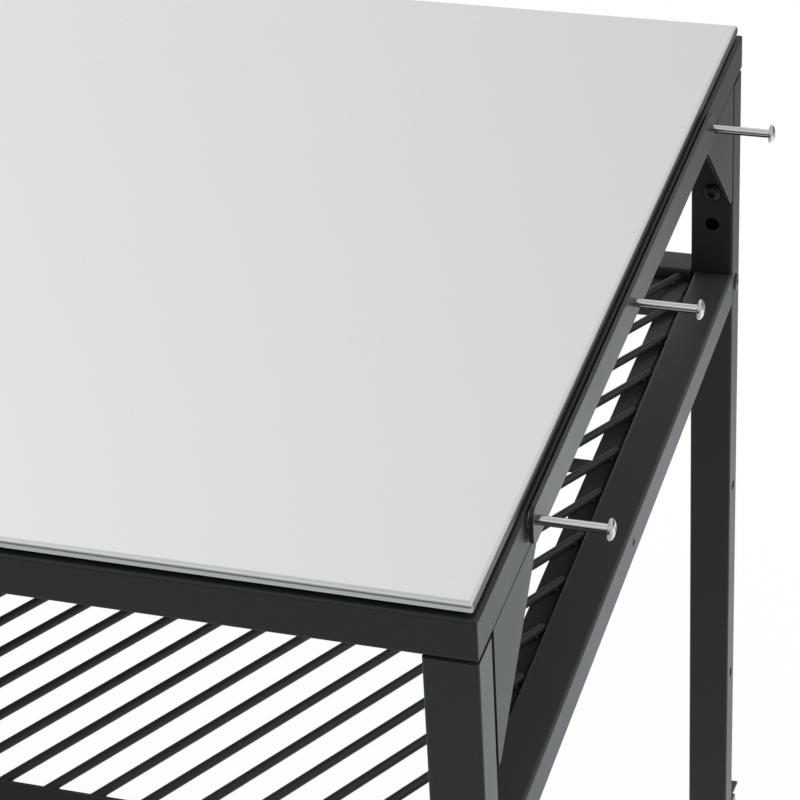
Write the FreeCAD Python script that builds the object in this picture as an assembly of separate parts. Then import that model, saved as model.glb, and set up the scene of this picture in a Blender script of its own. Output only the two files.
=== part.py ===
import FreeCAD, Part
import os
from math import atan2, cos, pi, radians, sin, sqrt

# Outdoor oven table, in millimetres. +Z is up, the front faces -Y, and the hook rack is on the +X side.
# The origin is on the floor, under the middle of the whole object with its pegs and casters.

V = FreeCAD.Vector

# Overall
WIDTH = 1000.0
DEPTH = 800.0
HEIGHT = 900.0

# Tubes
TUBE_CORNER = 2.5
TUBE_WALL = 1.5
LEG_X = 35.0
LEG_Y = 30.0
APRON_H = 30.0
APRON_W = 30.0
CROSSBAR_W = 30.0
CROSSBAR_H = 20.0
CROSSBAR_PITCH = 360.0

# Worktop: a folded sheet bonded to a board, which sits on rubber strips
SHEET = 1.2
SHEET_BEND = 3.6
SHEET_INSET = 3.0
SIDE_FLANGE = 6.8
END_FLANGE = 6.8
BOARD = 6.0
BOARD_CLEAR = 0.3
PAD = 2.8
PAD_WIDTH = 10.0
PAD_INSET = 17.0
PAD_END = 40.0

# Corner joint between the apron ring and each leg
LEG_GAP = 1.6
COLLAR_INSET = 4.0
STUB_CLEAR = 0.3
STUB_WALL = 3.0
STUB_LENGTH = 113.0
LEG_BOLT_DROP = 99.0
ACCESS_DROP = 129.0
ACCESS_R = 6.0

# Gusset plates
GUSSET = 103.0
GUSSET_TIP = 5.0
GUSSET_PLATE = 3.0
GUSSET_RECESS = 0.3
GUSSET_GAP = 4.0

# Metric screws with button heads
M8_R = 4.0
M8_HEAD_R = 7.2
M8_HEAD = 4.4
M8_HEAD_RIM = 1.2
M8_HEAD_FLAT_R = 4.6
M8_SOCKET = 5.0
M8_SOCKET_DEPTH = 2.6
M8_HOLE_R = 4.5
THREAD_PLAY = 0.05
LEG_BOLT_LENGTH = 14.0
SHELF_SCREW_BITE = 12.0

# Shelf
SHELF_DROP = 175.0
SHELF_STEP = 205.0
SHELF_LEVELS = 3
RAIL_H = 30.0
RAIL_W = 30.0
SIDE_RAIL_W = 32.0
RAIL_GAP = 0.6
RAIL_CAP = 4.0
RAIL_HOLE_R = 3.0
LEDGE_W = 20.0
LEDGE = 3.0
LEDGE_LIP = 27.0
LEDGE_GROOVE_W = 4.5
LEDGE_GROOVE = 1.5
ROD_R = 3.2
ROD_SIDES = 12
ROD_PITCH = 28.4
ROD_SHIFT = 11.4
ROD_ANGLE = 60.0
ROD_DROP = 2.0
ROD_CLEAR = 0.3
ROD_SHORTEST = 25.0
SHELF_BAR = 8.0
SHELF_BAR_PLACE = 0.614

# Hook rack: a plate held by three long screws, which go into nuts set in the right apron's wall
RACK_LENGTH = 550.0
RACK_HEIGHT = 27.0
RACK_PLATE = 3.0
RACK_RISE = 5.0
RACK_SHIFT = -14.0
RACK_CORNER = 8.0
PEG_R = 3.2
PEG_REACH = 45.0
PEG_HEAD_R = 7.0
PEG_HEAD = 4.0
PEG_HEAD_RIM = 1.6
PEG_HEAD_FLAT_R = 4.6
PEG_MARGIN = 9.0
PEG_COUNT = 3
PEG_RISE = 15.5
RECESS_WIDTH = 1.7
RECESS_LENGTH = 7.0
RECESS_DEPTH = 2.2
NUT_R = 4.8
NUT = 11.0
NUT_FLANGE_R = 7.0
NUT_FLANGE = 1.5
NUT_CLEAR = 0.1

# Casters
CASTER_H = 100.0
TRAIL = 26.0
WHEEL_R = 37.5
WHEEL_W = 24.0
TREAD_CHAMFER = 2.5
AXLE_R = 4.0
AXLE_HEAD_R = 7.0
AXLE_HEAD = 4.0
RUNNING = 0.07
FORK_PLATE = 2.5
FORK_SIDE_CLEAR = 0.6
FORK_EYE_R = 9.0
FORK_NOSE = 18.0
FORK_NOSE_DROP = 6.0
CROWN = 3.0
CROWN_CLEAR = 5.0
RACE_GAP = 0.4
CUP_R = 17.0
CUP_TOP_R = 12.0
KINGPIN_R = 5.0
KINGPIN_HEAD_R = 8.0
KINGPIN_HEAD = 3.0
STEM_R = 6.0
STEM_LENGTH = 28.0
STEM_HEX = 19.0
STEM_HEX_H = 6.0
PEDAL_PIN_R = 2.5
PEDAL_EYE_R = 5.0
PEDAL_OUT = 15.0
PEDAL_PIVOT_CLEAR = 6.0
PEDAL_LENGTH = 34.0
PEDAL_FALL = 8.0
PEDAL_PLATE = 3.0
PEDAL_SIDE_CLEAR = 0.6
PLUG_LENGTH = 30.0
PLUG_FLANGE = 3.0
PLUG_CLEAR = 0.2

# Levels and planes that the sizes above lead to
apron_top = HEIGHT - SHEET - BOARD - PAD
apron_bottom = apron_top - APRON_H
leg_top = apron_bottom - LEG_GAP
leg_bottom = CASTER_H + PLUG_FLANGE
rail_top = apron_bottom - SHELF_DROP
rail_middle = rail_top - RAIL_H / 2
rod_axis = rail_top - ROD_DROP - ROD_R
ledge_top = rod_axis - ROD_R - ROD_CLEAR
rack_face = NUT_FLANGE + RACK_PLATE
x_right = (WIDTH - (rack_face + PEG_REACH + PEG_HEAD) + M8_HEAD) / 2
x_left = x_right - WIDTH
y_back = DEPTH / 2
y_front = -DEPTH / 2
sides = {"left": -1, "right": 1}
ends = {"front": -1, "back": 1}
corners = [(end, side) for end in ends for side in sides]


def save(name, shape):
    shape.exportStep("parts/" + name + ".step")


def group(solids):
    return Part.makeCompound(solids)


def block(a, b):
    low = V(min(a[0], b[0]), min(a[1], b[1]), min(a[2], b[2]))
    high = V(max(a[0], b[0]), max(a[1], b[1]), max(a[2], b[2]))
    size = high - low
    return Part.makeBox(size.x, size.y, size.z, low)


def outer_x(side):
    return x_right if side == "right" else x_left


def outer_y(end):
    return y_back if end == "back" else y_front


def inward(end, side, u, v, z):
    """The point u in from the outer side face and v in from the outer end face of the frame."""
    return (outer_x(side) - sides[side] * u, outer_y(end) - ends[end] * v, z)


def rounded_outline(width, height, radius):
    """A closed wire round the origin in the XY plane, with its corners rounded."""
    w, h, r = width / 2, height / 2, radius
    k = r * (1 - sqrt(0.5))
    edges = []
    for cx, cy, turn in ((w, h, 0), (-w, h, 1), (-w, -h, 2), (w, -h, 3)):
        sx, sy = (1 if cx > 0 else -1), (1 if cy > 0 else -1)
        on_x, on_y = V(cx - sx * r, cy, 0), V(cx, cy - sy * r, 0)
        start, stop = (on_y, on_x) if turn % 2 == 0 else (on_x, on_y)
        edges.append((start, V(cx - sx * k, cy - sy * k, 0), stop))
    wire = []
    for i, (start, middle, stop) in enumerate(edges):
        wire.append(Part.Arc(start, middle, stop).toShape())
        wire.append(Part.LineSegment(stop, edges[(i + 1) % 4][0]).toShape())
    return Part.Wire(wire)


def hollow(width, height, wall, radius, length):
    """A rectangular hollow section, standing on the XY plane and running up Z."""
    outer = Part.Face(rounded_outline(width, height, radius)).extrude(V(0, 0, length))
    in_x, in_y = width / 2 - wall, height / 2 - wall
    return outer.cut(block((-in_x, -in_y, 0), (in_x, in_y, length)))


def tube_along(axis, across, tall, wall, low):
    """A tube that starts at its lowest corner and runs along axis; across and tall are its section."""
    x, y, z, length = low
    if axis == "x":
        tube = hollow(tall, across, wall, TUBE_CORNER, length)
        tube.rotate(V(0, 0, 0), V(0, 1, 0), 90)
        tube.translate(V(x, y + across / 2, z + tall / 2))
    else:
        tube = hollow(across, tall, wall, TUBE_CORNER, length)
        tube.rotate(V(0, 0, 0), V(1, 0, 0), -90)
        tube.translate(V(x + across / 2, y, z + tall / 2))
    return tube


def prism(points, direction):
    """A closed outline of straight edges, pushed along direction."""
    return Part.Face(Part.makePolygon([V(*p) for p in points] + [V(*points[0])])).extrude(V(*direction))


def cylinder(radius, start, direction, length):
    return Part.makeCylinder(radius, length, V(*start), V(*direction))


def turned(points, centre, axis):
    """A profile of (radius, height) points spun about an axis through centre."""
    outline = [V(r, 0, h) for r, h in points]
    solid = Part.Face(Part.makePolygon(outline + [outline[0]])).revolve(V(0, 0, 0), V(0, 0, 1), 360)
    lean = FreeCAD.Rotation(V(0, 0, 1), V(*axis))
    solid.Placement = FreeCAD.Placement(V(*centre), lean)
    return solid


def flat_sided(sides, corner_r, length, centre, axis):
    """A bar with equal flat sides, its corners corner_r from its axis."""
    turn = 2 * pi / sides
    outline = [(corner_r * cos(i * turn), corner_r * sin(i * turn), 0) for i in range(sides)]
    solid = prism(outline, (0, 0, length))
    solid.Placement = FreeCAD.Placement(V(*centre), FreeCAD.Rotation(V(0, 0, 1), V(*axis)))
    return solid


def hexagon(flats, height, centre, axis):
    return flat_sided(6, flats / sqrt(3), height, centre, axis)


# Apron ring

def apron(end_or_side):
    """One tube of the ring under the worktop, mitred at both ends."""
    w = APRON_W
    if end_or_side in ends:
        e = ends[end_or_side]
        y = outer_y(end_or_side)
        low_y = min(y, y - e * w)
        tube = tube_along("x", w, APRON_H, TUBE_WALL, (x_left, low_y, apron_bottom, WIDTH))
        outline = [(x_left, y), (x_right, y), (x_right - w, y - e * w), (x_left + w, y - e * w)]
    else:
        s = sides[end_or_side]
        x = outer_x(end_or_side)
        low_x = min(x, x - s * w)
        tube = tube_along("y", w, APRON_H, TUBE_WALL, (low_x, y_front, apron_bottom, DEPTH))
        outline = [(x, y_front), (x, y_back), (x - s * w, y_back - w), (x - s * w, y_front + w)]
    return tube.common(prism([(px, py, apron_bottom) for px, py in outline], (0, 0, APRON_H)))


def peg_places():
    """The Y of each peg, from front to back."""
    first = RACK_SHIFT - RACK_LENGTH / 2 + PEG_MARGIN
    step = (RACK_LENGTH - 2 * PEG_MARGIN) / (PEG_COUNT - 1)
    return [first + i * step for i in range(PEG_COUNT)]


peg_z = apron_bottom + RACK_RISE + PEG_RISE


def make_aprons():
    for name in list(ends) + list(sides):
        tube = apron(name)
        if name == "right":
            for y in peg_places():
                start = (x_right - TUBE_WALL - 1, y, peg_z)
                tube = tube.cut(cylinder(NUT_R + NUT_CLEAR, start, (1, 0, 0), TUBE_WALL + 2))
        save("apron_" + name, tube)


def crossbar_x(side):
    return (x_left + x_right) / 2 + sides[side] * CROSSBAR_PITCH / 2


def make_crossbars():
    """Two bearers between the front and back aprons, which carry the board."""
    length = DEPTH - 2 * APRON_W
    for side in sides:
        x = crossbar_x(side)
        low = (x - CROSSBAR_W / 2, y_front + APRON_W, apron_top - CROSSBAR_H, length)
        save("top_crossbar_" + side, tube_along("y", CROSSBAR_W, CROSSBAR_H, TUBE_WALL, low))


# Worktop

def sheet_edge(thick, bend, drop, length):
    """The section of a folded edge in the XZ plane, outer face at x = 0, swept along +Y."""
    top = 0.0
    k = sqrt(0.5)
    inner = bend - thick
    arc_out = Part.Arc(V(0, 0, top - bend), V(bend - bend * k, 0, top - bend + bend * k), V(bend, 0, top))
    arc_in = Part.Arc(
        V(bend, 0, top - thick),
        V(bend - inner * k, 0, top - bend + inner * k),
        V(thick, 0, top - bend),
    )
    edges = [
        arc_out.toShape(),
        Part.makeLine(V(bend, 0, top), V(bend, 0, top - thick)),
        arc_in.toShape(),
        Part.makeLine(V(thick, 0, top - bend), V(thick, 0, top - drop)),
        Part.makeLine(V(thick, 0, top - drop), V(0, 0, top - drop)),
        Part.makeLine(V(0, 0, top - drop), V(0, 0, top - bend)),
    ]
    return Part.Face(Part.Wire(edges)).extrude(V(0, length, 0))


def make_sheet():
    """The steel worktop: a flat plate with its four edges folded down, open at the corners."""
    long_x = WIDTH - 2 * SHEET_INSET
    long_y = DEPTH - 2 * SHEET_INSET
    middle = (x_left + x_right) / 2
    half_x, half_y = long_x / 2 - SHEET_BEND, long_y / 2 - SHEET_BEND
    plate = block((middle - half_x, -half_y, HEIGHT - SHEET), (middle + half_x, half_y, HEIGHT))
    for turn, drop, reach, run in (
        (0, SIDE_FLANGE, long_x, long_y),
        (180, SIDE_FLANGE, long_x, long_y),
        (90, END_FLANGE, long_y, 2 * half_x),
        (270, END_FLANGE, long_y, 2 * half_x),
    ):
        edge = sheet_edge(SHEET, SHEET_BEND, drop, run)
        edge.translate(V(-reach / 2, -run / 2, HEIGHT))
        edge.rotate(V(0, 0, 0), V(0, 0, 1), turn)
        edge.translate(V(middle, 0, 0))
        plate = plate.fuse(edge)
    save("worktop_sheet", plate.removeSplitter())


def make_board():
    inset = SHEET_INSET + SHEET_BEND + BOARD_CLEAR
    low = inward("front", "left", inset, inset, apron_top + PAD)
    high = inward("back", "right", inset, inset, apron_top + PAD + BOARD)
    save("worktop_board", block(low, high))


def make_pads():
    """Rubber strips on the aprons' inner halves and on the two bearers."""
    z0, z1 = apron_top, apron_top + PAD
    a, b = PAD_INSET, PAD_INSET + PAD_WIDTH
    strips = []
    for end in ends:
        strips.append(block(inward(end, "left", PAD_END, a, z0), inward(end, "right", PAD_END, b, z1)))
    for side in sides:
        strips.append(block(inward("front", side, a, PAD_END, z0), inward("back", side, b, PAD_END, z1)))
    half = DEPTH / 2 - PAD_END
    for side in sides:
        x = crossbar_x(side)
        strips.append(block((x - PAD_WIDTH / 2, -half, z0), (x + PAD_WIDTH / 2, half, z1)))
    save("worktop_pads", group(strips))


# Legs and their joints

def shelf_levels():
    return [rail_middle - i * SHELF_STEP for i in range(SHELF_LEVELS)]


def make_legs():
    for end, side in corners:
        x, y, z = inward(end, side, LEG_X / 2, LEG_Y / 2, leg_bottom)
        leg = hollow(LEG_X, LEG_Y, TUBE_WALL, TUBE_CORNER, leg_top - leg_bottom)
        leg.translate(V(x, y, z))
        for level in shelf_levels():
            start = (x - LEG_X, y, level)
            leg = leg.cut(cylinder(M8_HOLE_R, start, (1, 0, 0), 2 * LEG_X))
        for radius, drop in ((M8_HOLE_R, LEG_BOLT_DROP), (ACCESS_R, ACCESS_DROP)):
            hole = cylinder(radius, (x, y, apron_bottom - drop), (0, -ends[end], 0), LEG_Y)
            leg = leg.cut(hole)
        save("leg_" + end + "_" + side, leg)


def make_stubs():
    """A spigot under each corner of the ring: a collar that the leg meets, and a tube inside the leg."""
    solids = []
    skin = TUBE_WALL + STUB_CLEAR
    core = skin + STUB_WALL
    low, top = leg_top - STUB_LENGTH, leg_top
    for end, side in corners:
        x, y, z = inward(end, side, LEG_X / 2, LEG_Y / 2, 0)
        stub = block(inward(end, side, skin, skin, low), inward(end, side, LEG_X - skin, LEG_Y - skin, top))
        stub = stub.cut(
            block(inward(end, side, core, core, low), inward(end, side, LEG_X - core, LEG_Y - core, top))
        )
        rim = COLLAR_INSET
        low_corner = inward(end, side, rim, rim, leg_top)
        collar = block(low_corner, inward(end, side, LEG_X - rim, LEG_Y - rim, apron_bottom))
        stub = stub.fuse(collar).removeSplitter()
        start = (x, y, apron_bottom - LEG_BOLT_DROP)
        stub = stub.cut(cylinder(M8_R + THREAD_PLAY, start, (0, -ends[end], 0), LEG_Y))
        solids.append(stub)
    save("corner_stubs", group(solids))


def button_screw(length, seat, axis):
    """A socket screw with a domed head. seat is under the head, and axis points out of the head."""
    r, hr, h = M8_R, M8_HEAD_R, M8_HEAD
    profile = [
        (0, -length), (r, -length), (r, 0), (hr, 0), (hr, M8_HEAD_RIM), (M8_HEAD_FLAT_R, h), (0, h),
    ]
    screw = turned(profile, seat, axis)
    top = [seat[i] + axis[i] * (h - M8_SOCKET_DEPTH) for i in range(3)]
    return screw.cut(hexagon(M8_SOCKET, M8_SOCKET_DEPTH + 1, top, axis))


def make_leg_bolts():
    solids = []
    for end, side in corners:
        seat = inward(end, side, LEG_X / 2, LEG_Y, apron_bottom - LEG_BOLT_DROP)
        solids.append(button_screw(LEG_BOLT_LENGTH, seat, (0, -ends[end], 0)))
    save("leg_bolts", group(solids))


def gusset_outline(span):
    """A right-angled plate with blunt tips, its corner at the origin, in the XZ plane."""
    t = GUSSET_TIP
    return [(0, 0, 0), (span, 0, 0), (span, 0, -t), (t, 0, -span), (0, 0, -span)]


def make_gussets():
    """Plates in the two sides and the back. The front stays clear."""
    plates = []
    for end, side in corners:
        plate = prism(gusset_outline(GUSSET), (0, GUSSET_PLATE, 0))
        plate.rotate(V(0, 0, 0), V(0, 0, 1), 90)
        if end == "back":
            plate = plate.mirror(V(0, 0, 0), V(0, 1, 0))
        x = outer_x(side) - sides[side] * (GUSSET_RECESS + GUSSET_PLATE / 2)
        y = outer_y(end) - ends[end] * (LEG_Y + GUSSET_GAP)
        plate.translate(V(x + GUSSET_PLATE / 2, y, apron_bottom))
        plates.append(("gusset_" + side + "_" + end, plate))
    for side in sides:
        plate = prism(gusset_outline(GUSSET), (0, GUSSET_PLATE, 0))
        if side == "right":
            plate = plate.mirror(V(0, 0, 0), V(1, 0, 0))
        x = outer_x(side) - sides[side] * (LEG_X + GUSSET_GAP)
        plate.translate(V(x, y_back - GUSSET_RECESS - GUSSET_PLATE, apron_bottom))
        plates.append(("gusset_back_" + side, plate))
    for name, plate in plates:
        save(name, plate)


def make_plugs():
    """Moulded inserts that close the legs' lower ends and take the casters' stems."""
    solids = []
    skin = TUBE_WALL + PLUG_CLEAR
    top = leg_bottom + PLUG_LENGTH
    for end, side in corners:
        x, y, z = inward(end, side, LEG_X / 2, LEG_Y / 2, CASTER_H)
        flange = Part.Face(rounded_outline(LEG_X, LEG_Y, TUBE_CORNER)).extrude(V(0, 0, PLUG_FLANGE))
        flange.translate(V(x, y, z))
        body = block(
            inward(end, side, skin, skin, leg_bottom), inward(end, side, LEG_X - skin, LEG_Y - skin, top)
        )
        plug = body.fuse(flange).removeSplitter()
        bore = cylinder(STEM_R + THREAD_PLAY, (x, y, z - 1), (0, 0, 1), PLUG_FLANGE + PLUG_LENGTH + 2)
        solids.append(plug.cut(bore))
    save("leg_plugs", group(solids))


# Shelf

def shelf_inner():
    """The inner faces of the four rails: left, right, front, back."""
    return (x_left + SIDE_RAIL_W, x_right - SIDE_RAIL_W, y_front + RAIL_W, y_back - RAIL_W)


def ledge_along(axis, start, stop, face, way):
    """A folded ledge that stands out from a rail's face: a grooved flange, and a lip turned down."""
    solids = []
    for near, far, low, high in (
        (0, LEDGE_W, ledge_top - LEDGE, ledge_top),
        (LEDGE_W - LEDGE, LEDGE_W, ledge_top - LEDGE_LIP, ledge_top),
        (0, LEDGE_GROOVE_W, ledge_top - LEDGE_GROOVE, ledge_top + 1),
    ):
        u0, u1 = face + way * near, face + way * far
        if axis == "x":
            solids.append(block((start, u0, low), (stop, u1, high)))
        else:
            solids.append(block((u0, start, low), (u1, stop, high)))
    flange, lip, groove = solids
    return flange.fuse(lip).cut(groove)


def make_end_rails():
    """Front and back rails, closed at both ends by a tapped plate, with a ledge for the rods."""
    start = x_left + LEG_X + RAIL_GAP
    length = WIDTH - 2 * (LEG_X + RAIL_GAP)
    for end in ends:
        e = ends[end]
        y = outer_y(end)
        low_y = min(y, y - e * RAIL_W)
        rail = tube_along("x", RAIL_W, RAIL_H, TUBE_WALL, (start, low_y, rail_top - RAIL_H, length))
        margin = TUBE_WALL / 2
        for x0, x1 in ((start, start + RAIL_CAP), (start + length - RAIL_CAP, start + length)):
            low = (x0, low_y + margin, rail_top - RAIL_H + margin)
            high = (x1, low_y + RAIL_W - margin, rail_top - margin)
            rail = rail.fuse(block(low, high))
        ledge = ledge_along("x", start, start + length, y - e * RAIL_W, -e)
        rail = rail.fuse(ledge).removeSplitter()
        middle = y - e * LEG_Y / 2
        rail = rail.cut(cylinder(M8_R + THREAD_PLAY, (start - 1, middle, rail_middle), (1, 0, 0), RAIL_CAP + 2))
        far = start + length - RAIL_CAP - 1
        rail = rail.cut(cylinder(M8_R + THREAD_PLAY, (far, middle, rail_middle), (1, 0, 0), RAIL_CAP + 2))
        save("shelf_rail_" + end, rail)


def make_side_rails():
    """Left and right rails between the legs. Their ledges meet the end rails' ledges."""
    start = y_front + LEG_Y + RAIL_GAP
    length = DEPTH - 2 * (LEG_Y + RAIL_GAP)
    for side in sides:
        s = sides[side]
        x = outer_x(side)
        low_x = min(x, x - s * SIDE_RAIL_W)
        rail = tube_along("y", SIDE_RAIL_W, RAIL_H, TUBE_WALL, (low_x, start, rail_top - RAIL_H, length))
        reach = DEPTH / 2 - RAIL_W - LEDGE_W
        ledge = ledge_along("y", -reach, reach, x - s * SIDE_RAIL_W, -s)
        rail = rail.fuse(ledge).removeSplitter()
        hole = cylinder(RAIL_HOLE_R, (x - s * TUBE_WALL * 2, 0, rail_middle), (s, 0, 0), TUBE_WALL * 3)
        save("shelf_rail_" + side, rail.cut(hole))


def rod_span(foot, along, room):
    """How far a rod may run each way from foot before its square end would meet a rail."""
    reach = []
    for way in (-1, 1):
        runs = []
        for place, step, limit in ((foot.x, along.x, room[0]), (foot.y, along.y, room[1])):
            runs.append((limit - place * way * (1 if step > 0 else -1)) / abs(step))
        reach.append(min(runs))
    return reach


def make_rods():
    """Straight rods across the shelf at an angle, each cut off square just short of the rails.

    There are many of them, so each round bar has flats instead of a true circle, to stay light.
    """
    x0, x1, y0, y1 = shelf_inner()
    angle = radians(ROD_ANGLE)
    along = V(cos(angle), sin(angle), 0)
    across = V(sin(angle), -cos(angle), 0)
    middle = V((x0 + x1) / 2, (y0 + y1) / 2, rod_axis)
    room = (
        (x1 - x0) / 2 - ROD_CLEAR - ROD_R * sin(angle),
        (y1 - y0) / 2 - ROD_CLEAR - ROD_R * cos(angle),
    )
    spread = room[0] * sin(angle) + room[1] * cos(angle) - ROD_SHORTEST * sin(2 * angle) / 2
    before = int((spread + ROD_SHIFT) / ROD_PITCH)
    after = int((spread - ROD_SHIFT) / ROD_PITCH)
    rods = []
    for i in range(-before, after + 1):
        foot = across * (i * ROD_PITCH + ROD_SHIFT)
        back, forth = rod_span(foot, along, room)
        rods.append(flat_sided(ROD_SIDES, ROD_R, back + forth, middle + foot - along * back, along))
    save("shelf_rods", group(rods))


def make_shelf_bar():
    """A stiffener under the rods, between the side rails' ledges."""
    x0, x1, y0, y1 = shelf_inner()
    y = y0 + (y1 - y0) * SHELF_BAR_PLACE
    low = (x0 + LEDGE_W + ROD_CLEAR, y - SHELF_BAR / 2, ledge_top - SHELF_BAR)
    high = (x1 - LEDGE_W - ROD_CLEAR, y + SHELF_BAR / 2, ledge_top)
    save("shelf_bar", block(low, high))


def make_shelf_screws():
    solids = []
    length = LEG_X + RAIL_GAP + SHELF_SCREW_BITE
    for end, side in corners:
        seat = inward(end, side, 0, LEG_Y / 2, rail_middle)
        solids.append(button_screw(length, seat, (sides[side], 0, 0)))
    save("shelf_screws", group(solids))


# Hook rack

def make_rack_plate():
    """A flat plate with rounded corners. It stands clear of the apron on the flanges of the three nuts."""
    plate = Part.Face(rounded_outline(RACK_HEIGHT, RACK_LENGTH, RACK_CORNER)).extrude(V(0, 0, RACK_PLATE))
    plate.rotate(V(0, 0, 0), V(0, 1, 0), 90)
    back = x_right + NUT_FLANGE
    plate.translate(V(back, RACK_SHIFT, apron_bottom + RACK_RISE + RACK_HEIGHT / 2))
    for y in peg_places():
        plate = plate.cut(cylinder(PEG_R + THREAD_PLAY, (back - 1, y, peg_z), (1, 0, 0), RACK_PLATE + 2))
    save("rack_plate", plate)


def make_pegs():
    """Long pan-headed screws used as pegs, each with a cross recess."""
    tip = NUT_FLANGE - NUT
    seat = rack_face + PEG_REACH
    r, hr, h = PEG_R, PEG_HEAD_R, PEG_HEAD
    profile = [
        (0, tip), (r, tip), (r, seat), (hr, seat), (hr, seat + PEG_HEAD_RIM), (PEG_HEAD_FLAT_R, seat + h),
        (0, seat + h),
    ]
    pegs = []
    for y in peg_places():
        peg = turned(profile, (x_right, y, peg_z), (1, 0, 0))
        outer = x_right + seat + h
        for turn in (0, 90):
            half, w = RECESS_LENGTH / 2, RECESS_WIDTH / 2
            slot = block((outer - RECESS_DEPTH, -half, -w), (outer + 1, half, w))
            slot.rotate(V(0, 0, 0), V(1, 0, 0), turn)
            slot.translate(V(0, y, peg_z))
            peg = peg.cut(slot)
        pegs.append(peg)
    save("rack_pegs", group(pegs))


def make_rack_nuts():
    """Flanged nuts in the apron's three holes. The plate is drawn up against their flanges."""
    solids = []
    bore, low = PEG_R + THREAD_PLAY, NUT_FLANGE - NUT
    profile = [
        (bore, low), (NUT_R, low), (NUT_R, 0), (NUT_FLANGE_R, 0), (NUT_FLANGE_R, NUT_FLANGE), (bore, NUT_FLANGE),
    ]
    for y in peg_places():
        solids.append(turned(profile, (x_right, y, peg_z), (1, 0, 0)))
    save("rack_nuts", group(solids))


# Casters

crown_low = 2 * WHEEL_R + CROWN_CLEAR
crown_high = crown_low + CROWN
cup_low = crown_high + RACE_GAP
fork_inner = WHEEL_W / 2 + FORK_SIDE_CLEAR
fork_outer = fork_inner + FORK_PLATE
pivot_rise = sqrt((WHEEL_R + PEDAL_PIVOT_CLEAR) ** 2 - PEDAL_OUT ** 2)
pedal_pivot = (TRAIL + PEDAL_OUT, WHEEL_R + pivot_rise)


def placed(shape, end, side):
    """Turns a caster piece, modelled with its wheel trailing along +Y, and sets it under its leg."""
    if end == "front":
        shape.rotate(V(0, 0, 0), V(0, 0, 1), 180)
    shape.translate(V(*inward(end, side, LEG_X / 2, LEG_Y / 2, 0)))
    return shape


def stem_shape():
    """Threaded stem, its hexagon, the upper race and the king pin whose head carries the fork."""
    pin_low = crown_low - RACE_GAP - KINGPIN_HEAD
    hex_low = CASTER_H - STEM_HEX_H
    body = turned(
        [
            (0, pin_low), (KINGPIN_HEAD_R, pin_low), (KINGPIN_HEAD_R, pin_low + KINGPIN_HEAD),
            (KINGPIN_R, pin_low + KINGPIN_HEAD), (KINGPIN_R, cup_low), (CUP_R, cup_low), (CUP_TOP_R, hex_low),
            (STEM_R, hex_low), (STEM_R, CASTER_H + STEM_LENGTH), (0, CASTER_H + STEM_LENGTH),
        ],
        (0, 0, 0), (0, 0, 1),
    )
    return body.fuse(hexagon(STEM_HEX, STEM_HEX_H, (0, 0, hex_low), (0, 0, 1))).removeSplitter()


def fork_shape():
    """A pressed fork: a crown plate, two cheeks, the axle with its head and nut, and the brake's pin."""
    ear_y, ear_z = pedal_pivot
    plate_end = ear_y - PEDAL_EYE_R - PEDAL_SIDE_CLEAR
    shape = block((-fork_outer, -FORK_NOSE, crown_low), (fork_outer, plate_end, crown_high))
    shape = shape.cut(cylinder(KINGPIN_R + RUNNING, (0, 0, crown_low - 1), (0, 0, 1), CROWN + 2))
    for s in (-1, 1):
        x = fork_inner if s > 0 else -fork_outer
        cheek = prism(
            [
                (x, -FORK_NOSE, crown_high), (x, ear_y, crown_high), (x, ear_y + PEDAL_EYE_R, ear_z),
                (x, TRAIL + FORK_EYE_R, WHEEL_R), (x, TRAIL - FORK_EYE_R, WHEEL_R),
                (x, -FORK_NOSE, crown_low - FORK_NOSE_DROP),
            ],
            (FORK_PLATE, 0, 0),
        )
        cheek = cheek.fuse(cylinder(FORK_EYE_R, (x, TRAIL, WHEEL_R), (1, 0, 0), FORK_PLATE))
        shape = shape.fuse(cheek)
    shape = shape.fuse(cylinder(AXLE_R, (-fork_outer, TRAIL, WHEEL_R), (1, 0, 0), 2 * fork_outer))
    shape = shape.fuse(cylinder(AXLE_HEAD_R, (fork_outer, TRAIL, WHEEL_R), (1, 0, 0), AXLE_HEAD))
    shape = shape.fuse(hexagon(2 * AXLE_HEAD_R, AXLE_HEAD, (-fork_outer, TRAIL, WHEEL_R), (-1, 0, 0)))
    shape = shape.fuse(cylinder(PEDAL_PIN_R, (-fork_inner, ear_y, ear_z), (1, 0, 0), 2 * fork_inner))
    return shape.removeSplitter()


def wheel_shape():
    """A solid wheel with a bored centre and chamfered tread."""
    w, r, c, bore = WHEEL_W / 2, WHEEL_R, TREAD_CHAMFER, AXLE_R + RUNNING
    half = [(bore, w), (r - c, w), (r, w - c)]
    return turned(half + [(radius, -h) for radius, h in reversed(half)], (0, TRAIL, WHEEL_R), (1, 0, 0))


def pedal_shape():
    """The brake lever: an eye on the fork's pin, and a tread that slopes down behind the wheel."""
    py, pz = pedal_pivot
    half = fork_inner - PEDAL_SIDE_CLEAR
    slope = atan2(PEDAL_FALL, PEDAL_LENGTH)
    out_y, out_z = PEDAL_LENGTH * cos(slope), -PEDAL_LENGTH * sin(slope)
    up_y, up_z = PEDAL_PLATE / 2 * sin(slope), PEDAL_PLATE / 2 * cos(slope)
    lever = prism(
        [
            (-half, py + up_y, pz + up_z), (-half, py + out_y + up_y, pz + out_z + up_z),
            (-half, py + out_y - up_y, pz + out_z - up_z), (-half, py - up_y, pz - up_z),
        ],
        (2 * half, 0, 0),
    )
    lever = lever.fuse(cylinder(PEDAL_EYE_R, (-half, py, pz), (1, 0, 0), 2 * half))
    return lever.cut(cylinder(PEDAL_PIN_R + RUNNING, (-fork_outer, py, pz), (1, 0, 0), 2 * fork_outer))


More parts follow.
